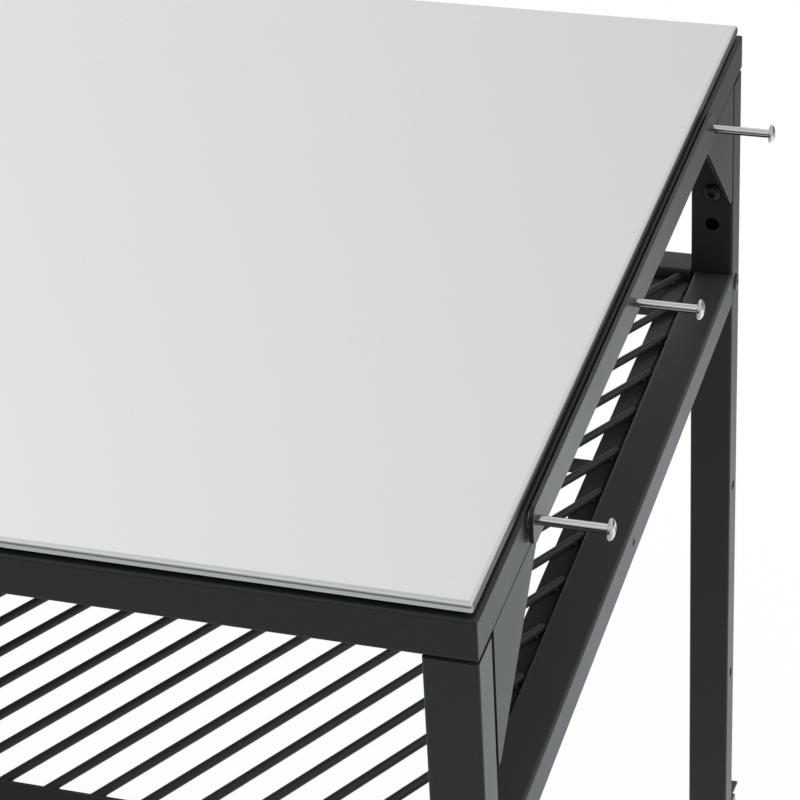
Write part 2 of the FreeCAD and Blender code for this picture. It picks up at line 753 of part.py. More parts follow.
def make_casters():
    save("caster_stems", group([placed(stem_shape(), end, side) for end, side in corners]))
    for end, side in corners:
        where = "_" + end + "_" + side
        save("caster_fork" + where, placed(fork_shape(), end, side))
        save("caster_wheel" + where, placed(wheel_shape(), end, side))
        save("caster_pedal" + where, placed(pedal_shape(), end, side))


os.makedirs("parts", exist_ok=True)
make_aprons()
make_crossbars()
make_sheet()
make_board()
make_pads()
make_legs()
make_stubs()
make_leg_bolts()
make_gussets()
make_plugs()
make_end_rails()
make_side_rails()
make_rods()
make_shelf_bar()
make_shelf_screws()
make_rack_plate()
make_pegs()
make_rack_nuts()
make_casters()
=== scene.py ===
# %% [markdown]
# An outdoor oven table
#
# The table is a black powder coated frame with a folded stainless worktop, a rod shelf below it,
# three long screws as hooks on its right side, and a braked caster under each leg.
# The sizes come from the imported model, which is loaded first and never moved. This file gives every
# surface its finish, and swaps the plainest pieces for finer ones that sit in the same places.

# %% Load the frame
import bmesh
import bpy
from math import atan2, cos, pi, radians, sin
from mathutils import Euler, Matrix, Vector


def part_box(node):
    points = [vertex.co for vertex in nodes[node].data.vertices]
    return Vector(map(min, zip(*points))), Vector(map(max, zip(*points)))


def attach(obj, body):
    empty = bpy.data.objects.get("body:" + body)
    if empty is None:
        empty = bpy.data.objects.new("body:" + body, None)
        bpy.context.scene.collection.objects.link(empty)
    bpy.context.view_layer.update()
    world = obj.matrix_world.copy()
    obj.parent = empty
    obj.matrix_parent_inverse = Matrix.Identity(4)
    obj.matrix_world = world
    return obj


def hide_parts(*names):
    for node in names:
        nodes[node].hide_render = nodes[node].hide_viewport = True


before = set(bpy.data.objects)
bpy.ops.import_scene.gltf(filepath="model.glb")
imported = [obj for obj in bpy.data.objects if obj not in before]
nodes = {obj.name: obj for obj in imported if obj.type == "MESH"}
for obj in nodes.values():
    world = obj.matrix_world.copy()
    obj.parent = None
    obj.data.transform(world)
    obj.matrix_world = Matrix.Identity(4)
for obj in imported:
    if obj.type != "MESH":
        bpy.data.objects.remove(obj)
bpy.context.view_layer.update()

# %% [markdown]
# The camera
#
# The picture looks down on the front right corner with a long lens from about two metres away.
# A camera could be aimed at a point by eye, but then long straight edges never quite fall on the picture's.
# Its place and turn were fitted to those edges instead, so they are plain measured values.
# The small downward shift keeps upright legs nearly parallel, as in the picture.

# %% Camera
MM = 0.001
CAMERA_PLACE = Vector((858.5, -1660.8, 1876.4)) * MM
CAMERA_TURN = (59.246, 2.780, 16.733)
CAMERA_LENS = 128.67
CAMERA_SHIFT = -0.1
SENSOR_WIDTH = 36

scene = bpy.context.scene
scene.view_settings.view_transform = "Standard"
camera = bpy.data.objects.new("camera", bpy.data.cameras.new("camera"))
scene.collection.objects.link(camera)
camera.location = CAMERA_PLACE
camera.rotation_euler = Euler([radians(a) for a in CAMERA_TURN], "XYZ")
camera.data.sensor_width = SENSOR_WIDTH
camera.data.lens = CAMERA_LENS
camera.data.shift_y = CAMERA_SHIFT
camera.data.dof.use_dof = False
scene.camera = camera
print("camera at", [round(v, 3) for v in CAMERA_PLACE], "with lens", CAMERA_LENS)

# %% [markdown]
# A way to write shader nodes
#
# A material is a small graph of nodes. It could be drawn by hand in the editor, but a script is easier to
# change and gives the same graph each time. Writing each node on one line, with what feeds it, keeps it
# readable: a socket given as a value is linked, and anything else is set as a plain number or colour.

# %% Node helpers
def add(tree, kind, feeds=None, **settings):
    """A new node in tree; feeds maps an input's name or number to a socket or a value."""
    made = tree.nodes.new(kind)
    for name, value in settings.items():
        setattr(made, name, value)
    for key, value in (feeds or {}).items():
        if isinstance(value, bpy.types.NodeSocket):
            tree.links.new(value, made.inputs[key])
        else:
            made.inputs[key].default_value = value
    return made


def maths(tree, operation, a, b=0.0):
    return add(tree, "ShaderNodeMath", {0: a, 1: b}, operation=operation).outputs[0]


def times(tree, a, b):
    return maths(tree, "MULTIPLY", a, b)


def spread(tree, value, low, high, to_low, to_high):
    """value brought from the range low..high to the range to_low..to_high, and held inside it."""
    feeds = {"Value": value, "From Min": low, "From Max": high, "To Min": to_low, "To Max": to_high}
    return add(tree, "ShaderNodeMapRange", feeds, clamp=True).outputs["Result"]


def shader_group(name, takes, gives):
    """An empty node group with float or vector sockets; returns it with its input and output nodes."""
    tree = bpy.data.node_groups.new(name, "ShaderNodeTree")
    for direction, sockets in (("INPUT", takes), ("OUTPUT", gives)):
        for socket, kind in sockets.items():
            tree.interface.new_socket(socket, in_out=direction, socket_type="NodeSocket" + kind)
    return tree, tree.nodes.new("NodeGroupInput"), tree.nodes.new("NodeGroupOutput")


def place(tree, group, feeds):
    return add(tree, "ShaderNodeGroup", feeds, node_tree=group)


print("node helpers ready")

# %% [markdown]
# Fine grain
#
# Powder coat, brushed steel and moulded plastic all owe their look to relief that is too small to model.
# A picture wrapped round the part could show it, but noise has no seams and never repeats.
# One group serves them all: a noise whose size is given in millimetres, stretched along one direction
# where the real surface was brushed. It gives a mask for colour and gloss, and a height for the bump.

# %% Group: fine grain
# Noise seldom leaves this middle part of its range, so a mask is stretched from here to 0..1.
NOISE_LOW = 0.3
NOISE_HIGH = 0.7
EVEN = (1, 1, 1)


def make_fine_grain():
    takes = {"Where": "Vector", "Grain mm": "Float", "Stretch": "Vector", "Detail": "Float"}
    tree, given, result = shader_group("Fine grain", takes, {"Mask": "Float", "Height": "Float"})
    per_metre = maths(tree, "DIVIDE", 1 / MM, given.outputs["Grain mm"])
    stretched = add(
        tree, "ShaderNodeVectorMath", {0: given.outputs["Where"], 1: given.outputs["Stretch"]},
        operation="MULTIPLY",
    )
    noise = add(
        tree, "ShaderNodeTexNoise",
        {"Vector": stretched.outputs[0], "Scale": per_metre, "Detail": given.outputs["Detail"],
         "Roughness": 0.55},
    )
    mask = spread(tree, noise.outputs["Fac"], NOISE_LOW, NOISE_HIGH, 0.0, 1.0)
    tree.links.new(mask, result.inputs["Mask"])
    tree.links.new(noise.outputs["Fac"], result.inputs["Height"])
    return tree


FINE_GRAIN = make_fine_grain()
print("group:", FINE_GRAIN.name)

# %% [markdown]
# Soft edges
#
# No real edge is knife sharp: tubes have rolled corners, plates are deburred, and paint rounds them more.
# A bevel on every mesh would be heavy, so a bevel normal rounds the edges in shading only.
# The angle between that normal and the true one also tells where an edge is, and the mask is used for a
# thin brighter line along the edges, which is partly the wear of handling and a stretched coat and partly a
# painted highlight.

# %% Group: soft edges
# The cosine of the angle between the two normals: where the edge mask starts, and where it is full.
EDGE_STARTS = 0.99
EDGE_FULL = 0.8
BEVEL_SAMPLES = 6


def make_soft_edges():
    gives = {"Edge": "Float", "Normal": "Vector"}
    tree, given, result = shader_group("Soft edges", {"Radius mm": "Float"}, gives)
    radius = times(tree, given.outputs["Radius mm"], MM)
    rounded = add(tree, "ShaderNodeBevel", {"Radius": radius}, samples=BEVEL_SAMPLES)
    true = add(tree, "ShaderNodeNewGeometry")
    dot = add(
        tree, "ShaderNodeVectorMath", {0: rounded.outputs["Normal"], 1: true.outputs["Normal"]},
        operation="DOT_PRODUCT",
    )
    edge = spread(tree, dot.outputs["Value"], EDGE_STARTS, EDGE_FULL, 0.0, 1.0)
    tree.links.new(edge, result.inputs["Edge"])
    tree.links.new(rounded.outputs["Normal"], result.inputs["Normal"])
    return tree


SOFT_EDGES = make_soft_edges()
print("group:", SOFT_EDGES.name)

# %% [markdown]
# Handling marks and dust
#
# Outdoors, a table carries broad, faint changes of gloss where hands and cloths have been, and dust that
# settles on what faces up. They could be painted on by hand, but the same rule should hold for all faces.
# Both are far larger than the grain, so they are a second group, with its own size in millimetres.

# %% Group: handling
# Dust starts to settle where a face's normal points this far up.
DUST_STARTS = 0.4


def make_handling():
    takes = {"Where": "Vector", "Patch mm": "Float"}
    tree, given, result = shader_group("Handling", takes, {"Patches": "Float", "Dust": "Float"})
    per_metre = maths(tree, "DIVIDE", 1 / MM, given.outputs["Patch mm"])
    broad = add(
        tree, "ShaderNodeTexNoise",
        {"Vector": given.outputs["Where"], "Scale": per_metre, "Detail": 2.0, "Roughness": 0.5},
    )
    patches = spread(tree, broad.outputs["Fac"], NOISE_LOW, NOISE_HIGH, 0.0, 1.0)
    true = add(tree, "ShaderNodeNewGeometry")
    up = add(tree, "ShaderNodeSeparateXYZ", {0: true.outputs["Normal"]}).outputs["Z"]
    facing_up = spread(tree, up, DUST_STARTS, 1.0, 0.0, 1.0)
    tree.links.new(patches, result.inputs["Patches"])
    tree.links.new(times(tree, facing_up, patches), result.inputs["Dust"])
    return tree


HANDLING = make_handling()
print("group:", HANDLING.name)

# %% [markdown]
# Starting a material
#
# Every finish starts from the same few nodes: the place on the object in metres, and one shader.
# Numbers that are the same all over a surface are set on the shader itself, where they are easy to find.
# Each finish could repeat the whole graph, but the three groups, a mix of two colours by a mask, a bump
# and the links to the shader come so often that each has its own helper.

# %% Material helpers
def new_material(name, **constants):
    """A material with one shader; constants are set on the shader's own sockets."""
    material = bpy.data.materials.new(name)
    material.use_nodes = True
    tree = material.node_tree
    shader = tree.nodes["Principled BSDF"]
    for socket, value in constants.items():
        shader.inputs[socket.replace("_", " ")].default_value = value
    where = add(tree, "ShaderNodeTexCoord").outputs["Object"]
    return material, tree, shader, where


def grained(tree, where, grain_mm, stretch, detail):
    """The fine grain; a stretch below 1 draws it out along that direction."""
    feeds = {"Where": where, "Grain mm": grain_mm, "Stretch": stretch, "Detail": detail}
    return place(tree, FINE_GRAIN, feeds)


def layers(tree, where, edge_mm, patch_mm, grain_mm, stretch=EVEN, detail=3.0):
    """The three groups that every finish is built from: soft edges, fine grain and handling."""
    edges = place(tree, SOFT_EDGES, {"Radius mm": edge_mm})
    marks = place(tree, HANDLING, {"Where": where, "Patch mm": patch_mm})
    return edges, grained(tree, where, grain_mm, stretch, detail), marks


def grey(value, warm=0.0):
    """A grey of the given brightness; warm moves it a little to red, and below zero to blue."""
    return (value * (1 + warm), value, value * (1 - warm), 1.0)


def mix(tree, mask, colour_a, colour_b):
    made = add(tree, "ShaderNodeMix", {0: mask, 6: colour_a, 7: colour_b}, data_type="RGBA")
    return made.outputs[2]


def relief(tree, height, normal, depth_mm, strength=1.0):
    feeds = {"Height": height, "Normal": normal, "Distance": depth_mm * MM, "Strength": strength}
    return add(tree, "ShaderNodeBump", feeds).outputs["Normal"]


def feed_shader(tree, shader, colour, roughness, normal):
    """Links the three sockets that every finish of the table varies over its surface."""
    for socket, value in (("Base Color", colour), ("Roughness", roughness), ("Normal", normal)):
        tree.links.new(value, shader.inputs[socket])


print("material helpers ready")

# %% [markdown]
# Black powder coat
#
# The frame is painted with powder that melts into a hard, satin skin with a very fine orange peel.
# A grey base colour would look flat. What shows is mostly the sheen: faces seen at a low angle turn grey,
# because the pale room is mirrored there, so the base is almost black and the gloss does the work.
# The front legs and the rack plate show a little more gloss in the picture, so theirs is a shade smoother,
# and the shelf has a copy of the coat with its colour doubled, a painted lightening for the light it gets.

# %% Finish: powder coat
COOL_SHEEN = (0.93, 1.0, 1.02, 1.0)
POWDER_DARKER = 0.015
POWDER_LIGHTER = 0.021
POWDER_COOL = -0.07
# How far the edges are lightened: partly wear, partly a painted highlight.
POWDER_EDGE_WEAR_AND_HIGHLIGHT = 0.55
POWDER_DUST = 0.2


def powder_coat(name, ior, smooth, rough, tone=1.0):
    """smooth and rough are the ends of the range of roughness; tone lifts the colour of the paint."""
    material, tree, shader, where = new_material(name, IOR=ior, Specular_Tint=COOL_SHEEN)
    edges, peel, marks = layers(tree, where, edge_mm=0.8, patch_mm=160.0, grain_mm=0.9)
    darker, lighter = grey(POWDER_DARKER * tone, POWDER_COOL), grey(POWDER_LIGHTER * tone, POWDER_COOL)
    base = mix(tree, peel.outputs["Mask"], darker, lighter)
    # The edges are lightened, partly as wear and partly as a painted highlight along them.
    edge_wear_and_highlight = times(tree, edges.outputs["Edge"], POWDER_EDGE_WEAR_AND_HIGHLIGHT)
    edge_lightened = mix(tree, edge_wear_and_highlight, base, grey(0.10, -0.05))
    dust = times(tree, marks.outputs["Dust"], POWDER_DUST)
    dusty = mix(tree, dust, edge_lightened, grey(0.028 * tone, -0.01))
    satin = spread(tree, peel.outputs["Mask"], 0.0, 1.0, smooth, rough)
    patched = maths(tree, "ADD", satin, times(tree, marks.outputs["Patches"], 0.05))
    normal = relief(tree, peel.outputs["Height"], edges.outputs["Normal"], depth_mm=0.03, strength=0.3)
    feed_shader(tree, shader, dusty, patched, normal)
    return material


POWDER_COAT = powder_coat("Powder coat", ior=1.34, smooth=0.36, rough=0.43)
POWDER_SMOOTH = powder_coat("Smoother powder coat", ior=1.36, smooth=0.31, rough=0.36)
# The shelf's copy of the coat has its colour doubled, as painted light.
POWDER_SHELF_PAINTED_LIGHTER = powder_coat("Powder coat on the shelf, painted lighter", ior=1.34, smooth=0.36, rough=0.43, tone=2.0)
print("finishes:", POWDER_COAT.name, POWDER_SMOOTH.name, POWDER_SHELF_PAINTED_LIGHTER.name)

# %% [markdown]
# Brushed stainless worktop
#
# The top is thin stainless sheet with a very fine brushed grain that runs along its length.
# A deep grain would look like sawn wood: from a step away the lines blur into an even, bright grey, so
# they are narrow, long and faint. Faint broad clouds in the gloss show where it has been wiped.
# At the two ends of the table, where the faces turn left or right, the steel is made duller and its colour
# is painted much darker, as a painted dark reflection along these bends.

# %% Finish: brushed steel
STEEL_DARKER = (0.715, 0.735, 0.727, 1)
STEEL_LIGHTER = (0.725, 0.745, 0.737, 1)
STEEL_SPECK = (0.70, 0.72, 0.712, 1)
STEEL_WIPED = (0.735, 0.755, 0.745, 1)
STEEL_ENDS_PAINTED_DARK = (0.18, 0.185, 0.18, 1)
# The ends are painted darker, and made duller, where the normal points this far to the left or right.
ENDS_DARK_STARTS = 0.75
ENDS_DARK_FULL = 0.97


def brushed_steel():
    material, tree, shader, where = new_material("Brushed steel", Metallic=1.0)
    edges, lines, marks = layers(
        tree, where, edge_mm=0.5, patch_mm=260.0, grain_mm=0.5, stretch=(0.02, 1, 1), detail=4.0)
    sparkle = grained(tree, where, grain_mm=1.1, stretch=(0.4, 1, 1), detail=2.0)
    base = mix(tree, lines.outputs["Mask"], STEEL_DARKER, STEEL_LIGHTER)
    speckled = mix(tree, times(tree, sparkle.outputs["Mask"], 0.15), base, STEEL_SPECK)
    wiped = mix(tree, times(tree, marks.outputs["Patches"], 0.25), speckled, STEEL_WIPED)
    facing = add(tree, "ShaderNodeSeparateXYZ", {0: add(tree, "ShaderNodeNewGeometry").outputs["Normal"]})
    sideways = maths(tree, "ABSOLUTE", facing.outputs["X"])
    ends_painted_dark_and_dull = spread(tree, sideways, ENDS_DARK_STARTS, ENDS_DARK_FULL, 0.0, 1.0)
    # A painted dark reflection on the faces at the two ends of the table.
    colour = mix(tree, ends_painted_dark_and_dull, wiped, STEEL_ENDS_PAINTED_DARK)
    brushed = spread(tree, lines.outputs["Mask"], 0.0, 1.0, 0.235, 0.265)
    patched = maths(tree, "ADD", brushed, times(tree, marks.outputs["Patches"], 0.03))
    duller = maths(tree, "ADD", patched, times(tree, ends_painted_dark_and_dull, 0.25))
    normal = relief(tree, lines.outputs["Height"], edges.outputs["Normal"], depth_mm=0.012, strength=0.08)
    feed_shader(tree, shader, colour, duller, normal)
    return material


BRUSHED_STEEL = brushed_steel()
print("finish:", BRUSHED_STEEL.name)

# %% [markdown]
# Metals of the fasteners
#
# The hooks are polished stainless screws, bright with a little drawing grain along the shank.
# The screws of the frame are blackened. The stems of the casters are zinc plated, which is duller and
# slightly cloudy, and the forks are painted over pressed steel. Each could have a graph of its own, but
# they differ only in their values, so one graph serves them all.

# %% Finish: screw metals
def screw_metal(name, colour, darker, metallic, roughness, grain_mm, stretch, depth_mm):
    """A metal or painted metal with grain; stretch draws the grain out, and depth_mm is its relief."""
    material, tree, shader, where = new_material(name, Metallic=metallic)
    edges, grain, marks = layers(tree, where, 0.25, 14.0, grain_mm, stretch)
    base = mix(tree, grain.outputs["Mask"], darker, colour)
    bright = mix(tree, times(tree, edges.outputs["Edge"], 0.3), base, colour)
    cloudy = spread(tree, marks.outputs["Patches"], 0.0, 1.0, roughness * 0.85, roughness * 1.2)
    normal = relief(tree, grain.outputs["Height"], edges.outputs["Normal"], depth_mm, strength=0.5)
    feed_shader(tree, shader, bright, cloudy, normal)
    return material


DRAWN = (0.05, 1, 1)
POLISHED_SCREW = screw_metal(
    "Polished steel", grey(0.66, -0.005), grey(0.56, -0.005),
    metallic=1.0, roughness=0.12, grain_mm=0.3, stretch=DRAWN, depth_mm=0.004)
BLACK_SCREW = screw_metal(
    "Blackened steel", grey(0.045), grey(0.028),
    metallic=0.6, roughness=0.36, grain_mm=0.5, stretch=EVEN, depth_mm=0.01)
ZINC = screw_metal(
    "Zinc plate", grey(0.55, -0.015), grey(0.43, -0.01),
    metallic=1.0, roughness=0.3, grain_mm=1.6, stretch=EVEN, depth_mm=0.01)
CASTER_PAINT = screw_metal(
    "Caster paint", grey(0.016), grey(0.010),
    metallic=0.0, roughness=0.36, grain_mm=1.2, stretch=EVEN, depth_mm=0.02)
print("finishes:", POLISHED_SCREW.name, BLACK_SCREW.name, ZINC.name, CASTER_PAINT.name)

# %% [markdown]
# Rubber and moulded plastic
#
# The tyres, the inserts in the legs, the brake pedals and the strips under the board are not metal.
# They are dark, with a spark eroded texture from the mould on the plastic, and a duller, dustier skin
# on the rubber. Plain dark grey would do from afar, but the casters are looked at close up, so one graph
# gives them grain, dust and scuffed edges, with its own numbers for each.

# %% Finish: rubber and plastic
LIGHTER_GRAIN = 1.25


def moulded(name, colour, scuffed, roughness, grain_mm, depth_mm):
    """A dull moulding whose edges and patches go towards the scuffed colour."""
    material, tree, shader, where = new_material(name, IOR=1.48)
    edges, grain, marks = layers(tree, where, 0.4, 18.0, grain_mm)
    base = mix(tree, grain.outputs["Mask"], colour, [c * LIGHTER_GRAIN for c in colour[:3]] + [1.0])
    dusty = mix(tree, times(tree, marks.outputs["Patches"], 0.3), base, scuffed)
    edge_lightened = mix(tree, times(tree, edges.outputs["Edge"], 0.3), dusty, scuffed)
    skin = spread(tree, marks.outputs["Patches"], 0.0, 1.0, roughness - 0.05, roughness + 0.07)
    normal = relief(tree, grain.outputs["Height"], edges.outputs["Normal"], depth_mm, strength=0.6)
    feed_shader(tree, shader, edge_lightened, skin, normal)
    return material


TYRE_RUBBER = moulded(
    "Tyre rubber", grey(0.018), grey(0.05, 0.04), roughness=0.62, grain_mm=0.8, depth_mm=0.05)
WHEEL_HUB = moulded(
    "Wheel hub", grey(0.022, -0.01), grey(0.045), roughness=0.45, grain_mm=0.7, depth_mm=0.03)
PEDAL_PLASTIC = moulded(
    "Pedal plastic", grey(0.020, -0.01), grey(0.05), roughness=0.48, grain_mm=0.7, depth_mm=0.04)
PLUG_PLASTIC = moulded(
    "Plug plastic", grey(0.012), grey(0.03), roughness=0.5, grain_mm=0.6, depth_mm=0.03)
PAD_RUBBER = moulded(
    "Strip rubber", grey(0.010), grey(0.02), roughness=0.7, grain_mm=0.6, depth_mm=0.04)
mouldings = (TYRE_RUBBER, WHEEL_HUB, PEDAL_PLASTIC, PLUG_PLASTIC, PAD_RUBBER)
print("finishes:", *[moulding.name for moulding in mouldings])

# %% [markdown]
# The board under the steel
#
# The sheet is bonded to a thin board, sealed black against the weather. Only its underside shows,
# between the bearers, so rings and knots would be wasted on it. Its grain still lifts the sealer into
# long low ridges, and the same fine grain, drawn out much further, gives those.

# %% Finish: sealed board
def sealed_board():
    material, tree, shader, where = new_material("Sealed board", IOR=1.48)
    edges, fibre, marks = layers(
        tree, where, edge_mm=0.6, patch_mm=140.0, grain_mm=3.0, stretch=(0.06, 1, 1), detail=5.0)
    base = mix(tree, fibre.outputs["Mask"], grey(0.014, 0.02), grey(0.024, 0.03))
    patched = mix(tree, times(tree, marks.outputs["Patches"], 0.3), base, grey(0.03, 0.03))
    sealer = spread(tree, fibre.outputs["Mask"], 0.0, 1.0, 0.5, 0.62)
    normal = relief(tree, fibre.outputs["Height"], edges.outputs["Normal"], depth_mm=0.1, strength=0.5)
    feed_shader(tree, shader, patched, sealer, normal)
    return material


SEALED_BOARD = sealed_board()
print("finish:", SEALED_BOARD.name)

# %% [markdown]
# Dressing the frame's own nodes
#
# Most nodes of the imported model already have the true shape, so they keep it and only get their finish.
# Each could be named in a list of its own, but the same piece comes at every corner, so the first part
# of a node's name says which finish it takes.

# %% Give each node its finish
FINISH_OF = {
    "apron": POWDER_COAT, "top_crossbar": POWDER_COAT, "leg_front": POWDER_SMOOTH, "leg_back": POWDER_COAT,
    "gusset": POWDER_COAT, "shelf": POWDER_SHELF_PAINTED_LIGHTER, "rack_plate": POWDER_SMOOTH, "corner_stubs": POWDER_COAT,
    "worktop_sheet": BRUSHED_STEEL, "worktop_board": SEALED_BOARD, "worktop_pads": PAD_RUBBER,
    "leg_bolts": BLACK_SCREW, "shelf_screws": BLACK_SCREW, "leg_plugs": PLUG_PLASTIC,
    "rack_pegs": POLISHED_SCREW, "rack_nuts": ZINC, "caster_stems": ZINC, "caster_fork": CASTER_PAINT,
    "caster_wheel": TYRE_RUBBER, "caster_pedal": PEDAL_PLASTIC,
}


def finish_for(name):
    """The finish of the longest key that the node's name starts with."""
    return FINISH_OF[max((key for key in FINISH_OF if name.startswith(key)), key=len)]


def dress(mesh, finish):
    mesh.materials.clear()
    mesh.materials.append(finish)


for name, thing in nodes.items():
    dress(thing.data, finish_for(name))
print("finishes set on", len(nodes), "nodes")

# %% [markdown]
# Tools for new pieces
#
# The finer pieces could be put together from Blender's own cylinders and cubes, but most of them are
# turned, folded or moulded, so they are built ring by ring in a bmesh, from the same profiles that a
# maker would draw. Three moves cover them all: spin a profile about an axis, join rings of points, and
# close the ends. The last helper hands a piece to the body that carries it.

# %% Mesh helpers
ON_AXIS = 1e-9


def axis_frame(centre, axis):
    """A matrix whose Z runs along axis, with its origin at centre."""
    turn = Vector(axis).to_track_quat("Z", "Y").to_matrix().to_4x4()
    return Matrix.Translation(Vector(centre)) @ turn


def ring(bm, points):
    return [bm.verts.new(p) for p in points]


def join_rings(bm, low, high):
    count = len(low)
    for i in range(count):
        j = (i + 1) % count
        bm.faces.new((low[i], low[j], high[j], high[i]))


def join_all(bm, rings, ends=False):
    """Joins each ring to the next; ends closes the first and the last ring too."""
    for low, high in zip(rings, rings[1:]):
        join_rings(bm, low, high)
    if ends:
        bm.faces.new(rings[0])
        bm.faces.new(rings[-1])


def arc(centre, radius, start, stop, steps):
    """Points of an arc in a profile, as (across, along) pairs; the angles are in degrees."""
    made = []
    for i in range(steps + 1):
        a = radians(start + (stop - start) * i / steps)
        made.append((centre[0] + radius * cos(a), centre[1] + radius * sin(a)))
    return made


def both_halves(upper):
    """The upper half of a section, and its mirror image below, so that the whole comes full circle."""
    return upper + [(a, -b) for a, b in reversed(upper) if b]


def spin(bm, profile, matrix, steps, closed=False):
    """Spins (radius, height) pairs about Z. Points on the axis become the ends' single corner."""
    rings = []
    for radius, height in profile:
        if radius < ON_AXIS:
            rings.append([bm.verts.new(matrix @ Vector((0, 0, height)))])
            continue
        turns = [2 * pi * i / steps for i in range(steps)]
        loop = [matrix @ Vector((radius * cos(t), radius * sin(t), height)) for t in turns]
        rings.append(ring(bm, loop))
    pairs = list(zip(rings, rings[1:]))
    if closed:
        pairs.append((rings[-1], rings[0]))
    for low, high in pairs:
        if len(low) == 1 and len(high) == 1:
            continue
        if len(low) == 1 or len(high) == 1:
            tip, rim = (low[0], high) if len(low) == 1 else (high[0], low)
            for i in range(steps):
                bm.faces.new((tip, rim[i], rim[(i + 1) % steps]))
        else:
            join_rings(bm, low, high)


def link_mesh(name, bm):
    """A new object in the scene with the mesh of bm, which is used up."""
    mesh = bpy.data.meshes.new(name)
    bm.to_mesh(mesh)
    bm.free()
    made = bpy.data.objects.new(name, mesh)
    scene.collection.objects.link(made)
    return made


def finish_piece(name, bm, body, slot, finish, *replaced, smooth_angle=35, turn_out=True):
    """Turns a bmesh into a piece of the table, with its finish, its body and what it stands for.

    Edges sharper than smooth_angle stay crisp; turn_out makes all faces look outward.
    """
    if turn_out:
        bmesh.ops.recalc_face_normals(bm, faces=bm.faces)
    piece = link_mesh(name, bm)
    mesh = piece.data
    mesh.polygons.foreach_set("use_smooth", [True] * len(mesh.polygons))
    mesh.set_sharp_from_angle(angle=radians(smooth_angle))
    dress(mesh, finish)
    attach(piece, body)
    if replaced:
        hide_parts(*replaced)
    return piece


def report(piece):
    print(piece.name, "has", len(piece.data.polygons), "faces")


print("mesh helpers ready")

# %% [markdown]
# The folded worktop
#
# The worktop's edge is a bend of a few millimetres round, and it carries the thin lines of light and shade
# that tell sheet metal from a slab. A bevel modifier could round a plain lid, but it would leave the
# inside and the small corners to chance. So the section is drawn once and swept round the table as rows
# of points: down the outer face, round under the edge, and back up inside. The corners are closed and
# dressed to a small radius.

# %% Folded worktop
SHEET = 1.2 * MM
SHEET_BEND = 3.6 * MM
SHEET_CORNER = 1.8 * MM
SHEET_LIP = 0.45 * MM
TIGHTEST_CORNER = 0.05 * MM
BEND_STEPS = 12
CORNER_STEPS = 5


def sheet_row(inset, height):
    """A closed row of points round the worktop, inset from its outer faces."""
    low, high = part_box("worktop_sheet")
    r = max(SHEET_CORNER - inset, TIGHTEST_CORNER)
    points = []
    table_corners = ((high.x, high.y), (low.x, high.y), (low.x, low.y), (high.x, low.y))
    for number, (x, y) in enumerate(table_corners):
        centre_x = x - (inset + r) * (1 if x == high.x else -1)
        centre_y = y - (inset + r) * (1 if y == high.y else -1)
        for i in range(CORNER_STEPS + 1):
            a = pi / 2 * (number + i / CORNER_STEPS)
            points.append(Vector((centre_x + r * cos(a), centre_y + r * sin(a), height)))
    return points


def make_folded_sheet():
    low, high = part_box("worktop_sheet")
    turns = [pi / 2 * i / BEND_STEPS for i in range(BEND_STEPS + 1)]
    fold, inner = high.z - SHEET_BEND, SHEET_BEND - SHEET
    outside = [(SHEET_LIP, low.z), (0, low.z + SHEET_LIP)]
    outside += [(SHEET_BEND * (1 - cos(t)), fold + SHEET_BEND * sin(t)) for t in turns]
    inside = [(SHEET_BEND - inner * cos(t), fold + inner * sin(t)) for t in reversed(turns)]
    inside += [(SHEET, low.z + SHEET_LIP), (SHEET - SHEET_LIP, low.z)]
    bm = bmesh.new()
    upper = [ring(bm, sheet_row(inset, height)) for inset, height in outside]
    under = [ring(bm, sheet_row(inset, height)) for inset, height in inside]
    join_all(bm, upper)
    join_all(bm, under)
    join_rings(bm, under[-1], upper[0])
    bm.faces.new(upper[-1])
    bm.faces.new(under[0])
    return finish_piece(
        "worktop_sheet_folded", bm, "root", "steel_top", BRUSHED_STEEL, "worktop_sheet", smooth_angle=40)


report(make_folded_sheet())

# %% [markdown]
# Shelf rods
#
# Forty round bars cross the shelf at a slant and lie on a narrow ledge along each rail.
# Each end is held by a small spot of weld and painted over, which shows as a soft swelling. It sits where
# the rod bears on its ledge, closer to the end at the front.
# Forty copies of one bar would not do, because near two corners of the shelf they are cut shorter. So
# they are placed by the model's own rule, in even steps each way from near the middle, and spun one by one.

# %% Shelf rods
ROD_R = 3.2 * MM
ROD_PITCH = 28.4 * MM
ROD_SHIFT = 11.4 * MM
ROD_ANGLE = radians(60)
ROD_CLEAR = 0.3 * MM
ROD_SHORTEST = 25 * MM
ROD_STEPS = 20
ROD_EDGE = 0.4 * MM
WELD_LONG = 5.5 * MM
WELD_FROM_END = 10 * MM
WELD_FROM_FRONT = 6.5 * MM
WELD_STEPS = 12
WELD_RINGS = 5
# These are shares of the rod's radius: the bead's half width and half height, and how far below it sits.
WELD_WIDE = 1.45
WELD_TALL = 0.55
WELD_DROP = 0.5
WELD_TIP = 0.05
LEDGE_W = 20 * MM

rods_low, rods_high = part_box("shelf_rods")
rail_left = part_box("shelf_rail_left")
rail_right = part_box("shelf_rail_right")
rail_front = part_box("shelf_rail_front")
rail_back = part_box("shelf_rail_back")
inner_x = (rail_left[1].x - LEDGE_W, rail_right[0].x + LEDGE_W)
inner_y = (rail_front[1].y - LEDGE_W, rail_back[0].y + LEDGE_W)
rod_middle = Vector(
    ((inner_x[0] + inner_x[1]) / 2, (inner_y[0] + inner_y[1]) / 2, (rods_low.z + rods_high.z) / 2)
)
rod_along = Vector((cos(ROD_ANGLE), sin(ROD_ANGLE), 0))
rod_across = Vector((sin(ROD_ANGLE), -cos(ROD_ANGLE), 0))
rod_room = (
    (inner_x[1] - inner_x[0]) / 2 - ROD_CLEAR - ROD_R * sin(ROD_ANGLE),
    (inner_y[1] - inner_y[0]) / 2 - ROD_CLEAR - ROD_R * cos(ROD_ANGLE),
)
